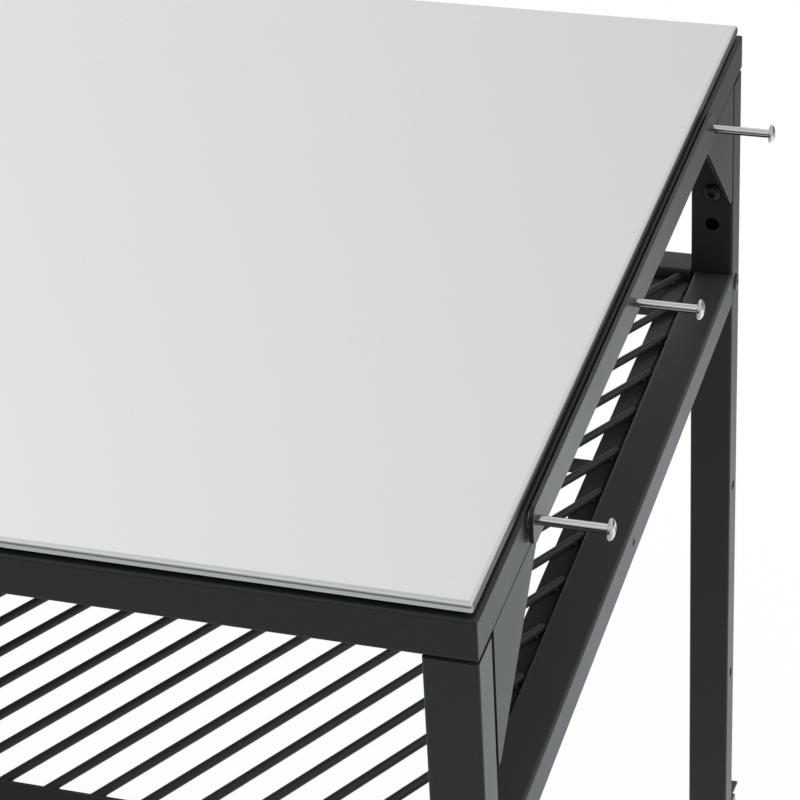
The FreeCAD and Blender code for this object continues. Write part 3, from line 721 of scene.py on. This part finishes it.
print("the rods cross", [round(2 * r / MM) for r in rod_room], "mm")


def rod_ends(foot):
    """Where a rod through foot stops, each way, before it would meet a rail."""
    found = []
    for way in (-1, 1):
        reach_x = (rod_room[0] - way * foot.x) / rod_along.x
        reach_y = (rod_room[1] - way * foot.y) / rod_along.y
        found.append(foot + rod_along * way * min(reach_x, reach_y))
    return found


def rod_profile(length):
    """A bar with a slightly broken edge at each sawn end."""
    r, e = ROD_R, ROD_EDGE
    return [(0, 0), (r - e, 0), (r, e), (r, length - e), (r - e, length), (0, length)]


def weld_spot(bm, spot, along):
    """A low bead under the end of a rod, between the rod and its ledge."""
    r, up = ROD_R, Vector((0, 0, 1))
    side = along.cross(up)
    rings = []
    for i in range(WELD_RINGS):
        angle = pi * i / (WELD_RINGS - 1) - pi / 2
        reach, girth = sin(angle) * WELD_LONG / 2, max(cos(angle), WELD_TIP)
        loop = []
        for k in range(WELD_STEPS):
            t = 2 * pi * k / WELD_STEPS
            out = side * cos(t) * r * WELD_WIDE * girth + up * sin(t) * r * WELD_TALL * girth
            loop.append(spot + along * reach + out - up * r * WELD_DROP)
        rings.append(ring(bm, loop))
    join_all(bm, rings, ends=True)


def make_rods():
    bm = bmesh.new()
    # Near two corners a rod would be shorter than ROD_SHORTEST, so there the row of rods ends.
    short = ROD_SHORTEST * sin(2 * ROD_ANGLE) / 2
    half = rod_room[0] * sin(ROD_ANGLE) + rod_room[1] * cos(ROD_ANGLE) - short
    before = int((half + ROD_SHIFT) / ROD_PITCH)
    after = int((half - ROD_SHIFT) / ROD_PITCH)
    for i in range(-before, after + 1):
        foot = rod_across * (i * ROD_PITCH + ROD_SHIFT)
        start, stop = [rod_middle + end for end in rod_ends(foot)]
        length = (stop - start).length
        spin(bm, rod_profile(length), axis_frame(start, stop - start), ROD_STEPS)
        at_front = start.y < rod_middle.y - rod_room[1] + MM
        weld_spot(bm, start + rod_along * (WELD_FROM_FRONT if at_front else WELD_FROM_END), rod_along)
        weld_spot(bm, stop - rod_along * WELD_FROM_END, rod_along)
    return finish_piece("shelf_rods_round", bm, "root", "powder_black", POWDER_SHELF_PAINTED_LIGHTER, "shelf_rods")


report(make_rods())

# %% [markdown]
# The front rail of the shelf
#
# Seen from the front, no ledge shows past the top of the front rail, so here it is a narrow flange that
# hides behind the tube. A new rail could be built for that, but all else on the model's rail is right.
# So the piece is a copy of it, cut along an upright plane and closed again.
# The tube is hollow and closed at its ends, so its faces are left turned as they are.

# %% Front rail
FRONT_LEDGE = 9 * MM
SAME_POINT = 0.001 * MM


def make_front_rail():
    rail = nodes["shelf_rail_front"]
    bm = bmesh.new()
    bm.from_mesh(rail.data)
    bm.transform(rail.matrix_world)
    bmesh.ops.remove_doubles(bm, verts=bm.verts, dist=SAME_POINT)
    geometry = bm.verts[:] + bm.edges[:] + bm.faces[:]
    edge_of_ledge = (0, rail_front[1].y - LEDGE_W + FRONT_LEDGE, 0)
    cut = bmesh.ops.bisect_plane(
        bm, geom=geometry, plane_co=edge_of_ledge, plane_no=(0, 1, 0), clear_outer=True)
    rim = [part for part in cut["geom_cut"] if isinstance(part, bmesh.types.BMEdge)]
    bmesh.ops.holes_fill(bm, edges=rim)
    return finish_piece(
        "shelf_rail_front_trimmed", bm, "root", "powder_black", POWDER_SHELF_PAINTED_LIGHTER, "shelf_rail_front",
        turn_out=False)


report(make_front_rail())

# %% [markdown]
# Domed socket screws
#
# The screws of the frame have a domed head with a hexagon socket. The socket could be cut out of the dome
# with a boolean, but that leaves ragged faces round its mouth. A dome only reads as one if its profile is
# a true arc, and the socket needs crisp walls, so the head is spun, and the inner ring of points slides
# onto a hexagon before it drops down. On the outside of the legs the heads are the thin kind, which
# barely stand out from the tube.

# %% Socket screws
SCREW_R = 4.0 * MM
HEAD_R = 7.2 * MM
HEAD_H = 4.4 * MM
LOW_HEAD = 1.8 * MM
HEAD_RIM = 0.7 * MM
SOCKET_FLATS = 5.0 * MM
SOCKET_DEPTH = 2.6 * MM
SOCKET_ROOM = 0.9 * MM
SOCKET_FLARE = 0.4 * MM
MOUTH_DEPTH = 0.05 * MM
WALL_DEPTH = 0.3 * MM
THREAD_LEAD = 0.6 * MM
HEAD_EASE = 0.2 * MM
DOME_STEPS = 8
HEAD_STEPS = 48
SHELF_SCREW_LENGTH = 47.6 * MM


def dome(radius, rim, top, flat_r, steps):
    """Profile points of a domed head, from its rim to the flat round the socket."""
    run, rise = radius - flat_r, top - rim
    turns = [radians(90 * i / steps) for i in range(steps + 1)]
    return [(flat_r + run * cos(t), rim + rise * sin(t)) for t in turns]


def hexagon_ring(flats, height, matrix, steps):
    """steps points round a hexagon, so that it can be joined to a round ring."""
    points = []
    for i in range(steps):
        t = 2 * pi * i / steps
        inside = (t % (pi / 3)) - pi / 6
        reach = flats / 2 / cos(inside)
        points.append(matrix @ Vector((reach * cos(t), reach * sin(t), height)))
    return points


def socket_screw(bm, seat, axis, length, head=HEAD_H):
    """A screw whose head of height head sits on seat and points along axis."""
    matrix = axis_frame(seat, axis)
    profile = [(0, -length), (SCREW_R - THREAD_LEAD, -length), (SCREW_R, THREAD_LEAD - length)]
    profile += [(SCREW_R, 0), (HEAD_R - HEAD_EASE, 0), (HEAD_R, HEAD_EASE)]
    flat = SOCKET_FLATS / 2 + SOCKET_ROOM
    profile += dome(HEAD_R, min(HEAD_RIM, head / 3), head, flat, DOME_STEPS)
    spin(bm, profile, matrix, HEAD_STEPS)
    bm.verts.ensure_lookup_table()
    rings = [list(bm.verts)[-HEAD_STEPS:]]
    mouth = (SOCKET_FLATS + SOCKET_FLARE, MOUTH_DEPTH)
    for flats, depth in (mouth, (SOCKET_FLATS, WALL_DEPTH), (SOCKET_FLATS, SOCKET_DEPTH)):
        rings.append(ring(bm, hexagon_ring(flats, head - depth, matrix, HEAD_STEPS)))
    join_all(bm, rings)
    bm.faces.new(rings[-1])


def make_shelf_screws():
    """One screw through the outer face of each leg, placed by the reach of the model's own four."""
    low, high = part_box("shelf_screws")
    level = (low.z + high.z) / 2
    bm = bmesh.new()
    for way, outer in ((-1, low.x), (1, high.x)):
        for y in (low.y + HEAD_R, high.y - HEAD_R):
            seat = Vector((outer - way * HEAD_H, y, level))
            socket_screw(bm, seat, (way, 0, 0), SHELF_SCREW_LENGTH, LOW_HEAD)
    return finish_piece("shelf_screws_domed", bm, "root", "black_screw", BLACK_SCREW, "shelf_screws")


report(make_shelf_screws())

# %% [markdown]
# Leg bolts
#
# Inside the frame, a short screw of the same kind holds each leg to the spigot of the ring.
# The reach of all four screws together says nothing of the legs' faces, which they sit on. They point
# inward, so each is placed from the inner face of its own leg.

# %% Leg bolts
LEG_BOLT_LENGTH = 14 * MM
CORNERS = [(end, side) for end in ("front", "back") for side in ("left", "right")]


def make_leg_bolts():
    bm = bmesh.new()
    bolt_low, bolt_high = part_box("leg_bolts")
    level = (bolt_low.z + bolt_high.z) / 2
    for end, side in CORNERS:
        low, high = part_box(f"leg_{end}_{side}")
        y, way = (high.y, 1) if end == "front" else (low.y, -1)
        socket_screw(bm, Vector(((low.x + high.x) / 2, y, level)), (0, way, 0), LEG_BOLT_LENGTH)
    return finish_piece("leg_bolts_domed", bm, "root", "black_screw", BLACK_SCREW, "leg_bolts")


report(make_leg_bolts())

# %% [markdown]
# The hooks
#
# Each hook is a long polished screw with a thin oval head and a cross recess. Its shank is smooth where
# it shows, and a small fillet under the head catches the light. The recess could be drawn on with a dark
# colour, but a real one has bright walls, so it is cut out by a tapered four armed tool, as a driver bit
# would fit. One blank is cut, and each hook is a copy of it, turned as a hand would have left it.

# %% Hooks
PEG_R = 3.2 * MM
PEG_HEAD_R = 7.0 * MM
PEG_HEAD = 4.0 * MM
PEG_HEAD_RIM = 0.9 * MM
CROSS_ARM = 3.9 * MM
CROSS_HALF = 0.95 * MM
CROSS_DEPTH = 2.4 * MM
CROSS_TIP_ARM = 1.1 * MM
CROSS_TIP_HALF = 0.5 * MM
CROSS_TURNS = (20, 45, 70)
PEG_LEAD = 0.7 * MM
PEG_FILLET = 0.5 * MM
PEG_EASE = 0.35 * MM
PEG_DOME_STEPS = 12
PEG_STEPS = 48


def peg_profile(length):
    """A screw along +Z whose head's top is at length."""
    seat = length - PEG_HEAD
    points = [(0, 0), (PEG_R - PEG_LEAD, 0), (PEG_R, PEG_LEAD), (PEG_R, seat - PEG_FILLET)]
    points += arc((PEG_R + PEG_FILLET, seat - PEG_FILLET), PEG_FILLET, 180, 90, 3)[1:]
    points += [(PEG_HEAD_R - PEG_EASE, seat), (PEG_HEAD_R, seat + PEG_EASE)]
    points += dome(PEG_HEAD_R, seat + PEG_HEAD_RIM, length, 0.0, PEG_DOME_STEPS)
    return points


def cross_cutter(top):
    """A closed four armed wedge that narrows as it goes down from top."""
    bm = bmesh.new()
    mouth = (top + MM, CROSS_ARM, CROSS_HALF)
    tip = (top - CROSS_DEPTH, CROSS_TIP_ARM, CROSS_TIP_HALF)
    for turn in (0, pi / 2):
        spin_by = Matrix.Rotation(turn, 4, "Z")
        rings = []
        for height, arm, half in (mouth, tip):
            corners = ((arm, half), (-arm, half), (-arm, -half), (arm, -half))
            rings.append(ring(bm, [spin_by @ Vector((x, y, height)) for x, y in corners]))
        join_rings(bm, rings[1], rings[0])
        bm.faces.new(rings[0])
        bm.faces.new(reversed(rings[1]))
    bmesh.ops.recalc_face_normals(bm, faces=bm.faces)
    return link_mesh("cross cutter", bm)


def cut_away(piece, cutter):
    """Takes the cutter out of the piece for good, and deletes the cutter."""
    tool = piece.modifiers.new("cut", "BOOLEAN")
    tool.operation = "DIFFERENCE"
    tool.solver = "EXACT"
    tool.use_self = True
    tool.object = cutter
    seen = bpy.context.evaluated_depsgraph_get()
    result = bpy.data.meshes.new_from_object(piece.evaluated_get(seen))
    piece.modifiers.clear()
    piece.data = result
    bpy.data.objects.remove(cutter)


def make_pegs():
    peg_low, peg_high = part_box("rack_pegs")
    length = peg_high.x - peg_low.x
    bm = bmesh.new()
    spin(bm, peg_profile(length), Matrix.Identity(4), PEG_STEPS)
    bmesh.ops.recalc_face_normals(bm, faces=bm.faces)
    blank = link_mesh("hook blank", bm)
    cut_away(blank, cross_cutter(length))
    level = (peg_low.z + peg_high.z) / 2
    first, last = peg_low.y + PEG_HEAD_R, peg_high.y - PEG_HEAD_R
    places = (("front", first), ("middle", (first + last) / 2), ("back", last))
    made = []
    for (which, y), turn in zip(places, CROSS_TURNS):
        bm = bmesh.new()
        bm.from_mesh(blank.data)
        turned = Matrix.Rotation(radians(turn), 4, "Z")
        bm.transform(axis_frame((peg_low.x, y, level), (1, 0, 0)) @ turned)
        name = "hook_screw_" + which
        made.append(finish_piece(name, bm, "root", "polished_screw", POLISHED_SCREW, "rack_pegs"))
    bpy.data.objects.remove(blank)
    return made


for hook in make_pegs():
    report(hook)

# %% [markdown]
# Caster wheels
#
# A wheel is a moulded hub with a rubber tyre. The tyre's shoulders are round, and its tread is very
# slightly crowned. The hub has a boss on the axle, a thin web and ribs between the boss and the rim.
# One solid with two colours would do from afar, but the two materials meet in a fine groove, so they are
# two pieces on the same wheel, each spun from its own section.

# %% Wheels
WHEEL_R = 37.5 * MM
WHEEL_HALF = 12.0 * MM
TYRE_IN = 28.5 * MM
SHOULDER = 4.5 * MM
BORE = 4.07 * MM
BOSS_R = 9.0 * MM
RIM_IN = 24.5 * MM
WEB_HALF = 3.0 * MM
HUB_HALF = 10.8 * MM
RIBS = 8
RIB_HALF = 1.1 * MM
RIB_BELOW_RIM = 2.2 * MM
RIB_TAPER = 0.75
TYRE_CROWN = 0.35 * MM
# The tread's arch passes this share of the crown below its top at this share of its half width.
CROWN_POINT = (0.4, 0.35)
TYRE_EASE = 0.8 * MM
HUB_EASE = 0.6 * MM
HUB_DRAFT = 0.5 * MM
BOSS_INSET = 0.3 * MM
SHOULDER_STEPS = 6
TYRE_STEPS = 72
HUB_STEPS = 48


def tyre_profile():
    """The tyre's section as (radius, height) pairs, closed on itself."""
    side = WHEEL_HALF
    fall, out = CROWN_POINT
    shoulder_centre = (WHEEL_R - TYRE_CROWN - SHOULDER, side - SHOULDER)
    upper = [(TYRE_IN, side - TYRE_EASE), (TYRE_IN + TYRE_EASE, side)]
    upper += arc(shoulder_centre, SHOULDER, 90, 0, SHOULDER_STEPS)
    upper += [(WHEEL_R - TYRE_CROWN * fall, side * out), (WHEEL_R, 0)]
    return both_halves(upper)


def hub_profile():
    """The hub's section: bore, boss, web and rim, closed on itself."""
    e, face = HUB_EASE, WHEEL_HALF - BOSS_INSET
    boss_foot, rim_top = BOSS_R + HUB_DRAFT, RIM_IN + HUB_DRAFT
    upper = [
        (BORE, face - e), (BORE + e, face), (BOSS_R - e, face), (BOSS_R, face - e),
        (boss_foot, WEB_HALF + e), (boss_foot + e, WEB_HALF),
        (RIM_IN - e, WEB_HALF), (RIM_IN, WEB_HALF + e),
        (rim_top, HUB_HALF - e), (rim_top + e, HUB_HALF), (TYRE_IN - e, HUB_HALF), (TYRE_IN, HUB_HALF - e),
    ]
    return both_halves(upper)


def hub_ribs(bm, matrix):
    """Radial ribs on both sides of the web, a little lower than the rim."""
    foot = (WEB_HALF - MM, RIB_HALF)
    top = (HUB_HALF - RIB_BELOW_RIM, RIB_HALF * RIB_TAPER)
    near, far = BOSS_R - MM, RIM_IN + MM
    for i in range(RIBS):
        turn = matrix @ Matrix.Rotation(2 * pi * i / RIBS, 4, "Z")
        for way in (-1, 1):
            rings = []
            for depth, half in (foot, top):
                spots = ((near, -half), (far, -half), (far, half), (near, half))
                rings.append(ring(bm, [turn @ Vector((x, y, way * depth)) for x, y in spots]))
            join_all(bm, rings, ends=True)


def make_wheel(end, side):
    where = f"{end}_{side}"
    node = "caster_wheel_" + where
    low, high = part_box(node)
    matrix = axis_frame((low + high) / 2, (1, 0, 0))
    tyre = bmesh.new()
    spin(tyre, tyre_profile(), matrix, TYRE_STEPS, closed=True)
    hub = bmesh.new()
    spin(hub, hub_profile(), matrix, HUB_STEPS, closed=True)
    hub_ribs(hub, matrix)
    tyre_piece = finish_piece("tyre_" + where, tyre, node, "tyre_rubber", TYRE_RUBBER, node)
    hub_piece = finish_piece("hub_" + where, hub, node, "pedal_plastic", WHEEL_HUB, node)
    return tyre_piece, hub_piece


for end, side in CORNERS:
    for piece in make_wheel(end, side):
        report(piece)

# %% [markdown]
# Brake pedals
#
# A brake pedal is pressed with a shoe, so its tread has raised bars across it and a sloping tip.
# It swings on a pin between the fork's cheeks, where the eye of the lever goes round the pin. The bars
# could be a bump in the material, but the lever is seen from the side, where they break its outline. So
# that outline is drawn with the bars on it and drawn out to the lever's width.

# %% Pedals
PEDAL_THICK = 3.0 * MM
EYE_R = 5.0 * MM
PEDAL_BORE = 2.57 * MM
PEDAL_RIBS = 5
LEVER_LONG = 34.0 * MM
LEVER_FALL = 8.0 * MM
LEVER_START = 5.2 * MM
BARS_START = 1.5 * MM
BARS_SPARE = 3.5 * MM
BAR_HIGH = 0.8 * MM
# Where a bar is fully up, starts to fall and has ended, as shares of the pitch.
BAR_SHARES = (0.18, 0.48, 0.66)
TIP_LONG = 1.2 * MM
TIP_FALL = 1.8 * MM
TIP_UNDER = 1.8 * MM
PEDAL_EASE = 0.5 * MM
EYE_STEPS = 36


def pedal_outline():
    """Side view of the lever as (out, up) pairs from the pin: a straight arm with bars, and a tip."""
    slope = atan2(-LEVER_FALL, LEVER_LONG)
    along, up = Vector((cos(slope), sin(slope))), Vector((-sin(slope), cos(slope)))
    half = PEDAL_THICK / 2
    low = half - BAR_HIGH
    pitch = (LEVER_LONG - LEVER_START - BARS_SPARE) / PEDAL_RIBS
    corners = [(LEVER_START, low)]
    for i in range(PEDAL_RIBS):
        foot = LEVER_START + BARS_START + i * pitch
        risen, falling, ended = [foot + pitch * share for share in BAR_SHARES]
        corners += [(foot, low), (risen, half), (falling, half), (ended, low)]
    corners += [(LEVER_LONG - TIP_LONG, low), (LEVER_LONG, half - TIP_FALL), (LEVER_LONG, -half)]
    corners += [(LEVER_LONG - TIP_UNDER, -half), (LEVER_START, -half)]
    return [along * out + up * height for out, height in corners]


def make_pedal(end, side):
    node = f"caster_pedal_{end}_{side}"
    low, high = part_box(node)
    way = -1 if end == "front" else 1
    pin_y = low.y + EYE_R if way > 0 else high.y - EYE_R
    pin = Vector(((low.x + high.x) / 2, pin_y, high.z - EYE_R))
    half = (high.x - low.x) / 2
    bm = bmesh.new()
    matrix = axis_frame(pin, (1, 0, 0))
    e = PEDAL_EASE
    eye = [(PEDAL_BORE, half - e), (PEDAL_BORE + e, half), (EYE_R - e, half), (EYE_R, half - e)]
    spin(bm, both_halves(eye), matrix, EYE_STEPS, closed=True)
    outline = pedal_outline()
    middle = sum(outline, Vector((0, 0))) / len(outline)
    rings = []
    for x, shrink in ((-half, e), (-half + e, 0), (half - e, 0), (half, e)):
        loop = []
        for p in outline:
            q = p + (middle - p).normalized() * shrink if shrink else p
            loop.append(pin + Vector((x, way * q.x, q.y)))
        rings.append(ring(bm, loop))
    join_all(bm, rings, ends=True)
    name = f"pedal_ribbed_{end}_{side}"
    return finish_piece(name, bm, f"caster_brake_{end}_{side}", "pedal_plastic", PEDAL_PLASTIC, node)


for end, side in CORNERS:
    report(make_pedal(end, side))

# %% [markdown]
# The floor
#
# The picture is a cut out on pure white. A floor that only catches shadows would give the steel and the
# hooks nothing to mirror, so this is a real, pale floor. It takes a faint shadow, and where the camera, a
# mirror or glass looks at it, it is lifted most of the way to white. In the mirror of a glossy face it is
# brightest behind the table and falls off further away.

# %% Floor
FLOOR_HALF = 3.0
FLOOR_LIFT = 0.9
# Each slope of the mirrored floor goes from one Y to another, and from one brightness to another.
FLOOR_FRONT = (-2.3, -1.8, 0.25, 1.0)
FLOOR_NEAR = (0.0, 0.5, 0.66, 1.25)
FLOOR_BEHIND = (0.6, 1.1, 0.90, 1.12)
FLOOR_FADING = (1.1, 1.8, 1.0, 0.28)


def mirrored_floor(tree, where):
    """How bright glossy faces see the floor."""
    far = add(tree, "ShaderNodeSeparateXYZ", {0: where}).outputs["Y"]
    slopes = (FLOOR_FRONT, FLOOR_NEAR, FLOOR_BEHIND, FLOOR_FADING)
    front, near, behind, fading = [spread(tree, far, *slope) for slope in slopes]
    return times(tree, times(tree, front, near), times(tree, behind, fading))


def make_floor():
    bm = bmesh.new()
    size = FLOOR_HALF
    bm.faces.new(ring(bm, [(-size, -size, 0), (size, -size, 0), (size, size, 0), (-size, size, 0)]))
    floor = link_mesh("floor", bm)
    material, tree, shader, where = new_material("Floor", Roughness=0.9)
    speckle = grained(tree, where, grain_mm=4.0, stretch=EVEN, detail=2.0).outputs["Mask"]
    tree.links.new(mix(tree, speckle, grey(0.88), grey(0.92)), shader.inputs["Base Color"])
    path = add(tree, "ShaderNodeLightPath")
    feeds = {0: path.outputs["Is Glossy Ray"], 2: 1.0, 3: mirrored_floor(tree, where)}
    level = add(tree, "ShaderNodeMix", feeds, data_type="FLOAT")
    tint = mix(tree, path.outputs["Is Glossy Ray"], grey(1.0), (0.95, 1.0, 1.02, 1.0))
    glow = add(tree, "ShaderNodeEmission", {"Color": tint, "Strength": level.outputs[0]})
    mirror = maths(tree, "MAXIMUM", path.outputs["Is Glossy Ray"], path.outputs["Is Transmission Ray"])
    seen = maths(tree, "MAXIMUM", path.outputs["Is Camera Ray"], mirror)
    feeds = {0: times(tree, seen, FLOOR_LIFT), 1: shader.outputs[0], 2: glow.outputs[0]}
    lifted = add(tree, "ShaderNodeMixShader", feeds)
    tree.links.new(lifted.outputs[0], tree.nodes["Material Output"].inputs["Surface"])
    floor.data.materials.append(material)
    return floor


make_floor()
print("floor of", 2 * FLOOR_HALF, "metres")

# %% [markdown]
# The room
#
# A picture of a real studio could light the table, but its windows would have to be moved about until they
# fit. So the room is a white dome, even for the light it throws, and what the glossy faces mirror has more
# shape: a slope of brightness that the steel shows, a dark front, a dark back right and a dimmer ceiling.
# They draw the thin lines of light and shade along the folds and hooks. The dark back right ends just
# above the horizon, or the steel top would mirror it when it is seen from the front left.

# %% World
ROOM_LEVEL = 0.91
FRONT_DARK = 0.12
FRONT_DIM = 0.6
RIGHT_DARK = 0.10
CEILING_DIM = 0.65
# Each slope goes from one X or Z of the ray's direction to another, and from one brightness to another.
SIDE_SLOPE = (-0.6, 0.0, 1.13, 0.78)
RISING_SLOPE = (0.35, 0.6, 1.03, 1.20)
# Where a patch starts and where it is full, along one part of the direction.
FRONT_SIDE = (-0.35, -0.7)
RIGHT_SIDE = (0.0, 0.25)
BACK_SIDE = (0.4, 0.65)
CEILING = (0.72, 0.85)
# Heights where a band of the room starts, is full, starts to fade and ends.
LOW_BAND = (-0.5, -0.3, 0.1, 0.2)
MIDDLE_BAND = (0.1, 0.2, 0.5, 0.65)
FLAT_BAND = (-0.45, -0.35, 0.0, 0.12)


def band(tree, value, start, full, fading, end):
    """A mask that rises from start to full, and falls again from fading to end."""
    rise = spread(tree, value, start, full, 0.0, 1.0)
    return times(tree, rise, spread(tree, value, fading, end, 1.0, 0.0))


def dimmed(tree, level, mask, dark):
    """The level, brought down to its share dark where the mask is full."""
    return times(tree, level, spread(tree, mask, 0.0, 1.0, 1.0, dark))


def mirrored_room(tree, parts):
    """What glossy faces see of the room: slopes of brightness, and soft edged dark patches."""
    x, y, z = parts.outputs["X"], parts.outputs["Y"], parts.outputs["Z"]
    level = times(tree, spread(tree, x, *SIDE_SLOPE), spread(tree, z, *RISING_SLOPE))
    front = spread(tree, y, *FRONT_SIDE, 0.0, 1.0)
    level = dimmed(tree, level, times(tree, front, band(tree, z, *LOW_BAND)), FRONT_DARK)
    level = dimmed(tree, level, times(tree, front, band(tree, z, *MIDDLE_BAND)), FRONT_DIM)
    right = spread(tree, x, *RIGHT_SIDE, 0.0, 1.0)
    back_right = times(tree, right, spread(tree, y, *BACK_SIDE, 0.0, 1.0))
    level = dimmed(tree, level, times(tree, back_right, band(tree, z, *FLAT_BAND)), RIGHT_DARK)
    return dimmed(tree, level, spread(tree, z, *CEILING, 0.0, 1.0), CEILING_DIM)


def make_world():
    """White where the camera looks, an even dome for soft light, and the mirrored room for glossy faces."""
    world = bpy.data.worlds.new("studio")
    scene.world = world
    world.use_nodes = True
    tree = world.node_tree
    out = tree.nodes["World Output"]
    back = tree.nodes["Background"]
    direction = add(tree, "ShaderNodeTexCoord").outputs["Generated"]
    parts = add(tree, "ShaderNodeSeparateXYZ", {0: direction})
    room = times(tree, mirrored_room(tree, parts), ROOM_LEVEL)
    path = add(tree, "ShaderNodeLightPath")
    feeds = {0: path.outputs["Is Glossy Ray"], 2: ROOM_LEVEL, 3: room}
    glossy = add(tree, "ShaderNodeMix", feeds, data_type="FLOAT")
    feeds = {0: path.outputs["Is Camera Ray"], 2: glossy.outputs[0], 3: 1.0}
    seen = add(tree, "ShaderNodeMix", feeds, data_type="FLOAT")
    tree.links.new(seen.outputs[0], back.inputs["Strength"])
    back.inputs["Color"].default_value = grey(1.0)
    tree.links.new(back.outputs[0], out.inputs["Surface"])


make_world()
print("room level", ROOM_LEVEL)

# %% [markdown]
# Two soft lamps
#
# The even room alone would leave the table flat, and a hard lamp would throw shadows that the picture
# doesn't show. So a wide lamp high on the left gives the top its gentle slope. One behind on the right
# lifts the tops of the shelf's rails and keeps the far legs apart from the dark inside of the frame. It is
# not mirrored, or it would draw a white line along the steel's right bend, which the picture doesn't show.

# %% Lamps
def soft_lamp(name, stand, aim, size, watts):
    data = bpy.data.lights.new(name, "AREA")
    data.shape = "DISK"
    data.size = size
    data.energy = watts
    lamp = bpy.data.objects.new(name, data)
    scene.collection.objects.link(lamp)
    lamp.location = stand
    lamp.rotation_euler = (Vector(aim) - Vector(stand)).to_track_quat("-Z", "Y").to_euler()
    return lamp


soft_lamp("lamp left", stand=(-2.6, 0.6, 3.4), aim=(0, 0, 0.8), size=2.4, watts=26)
right_lamp = soft_lamp("lamp right", stand=(3.2, 1.4, 2.2), aim=(0.2, 0, 0.6), size=2.0, watts=34)
right_lamp.visible_glossy = False
print("two soft lamps")
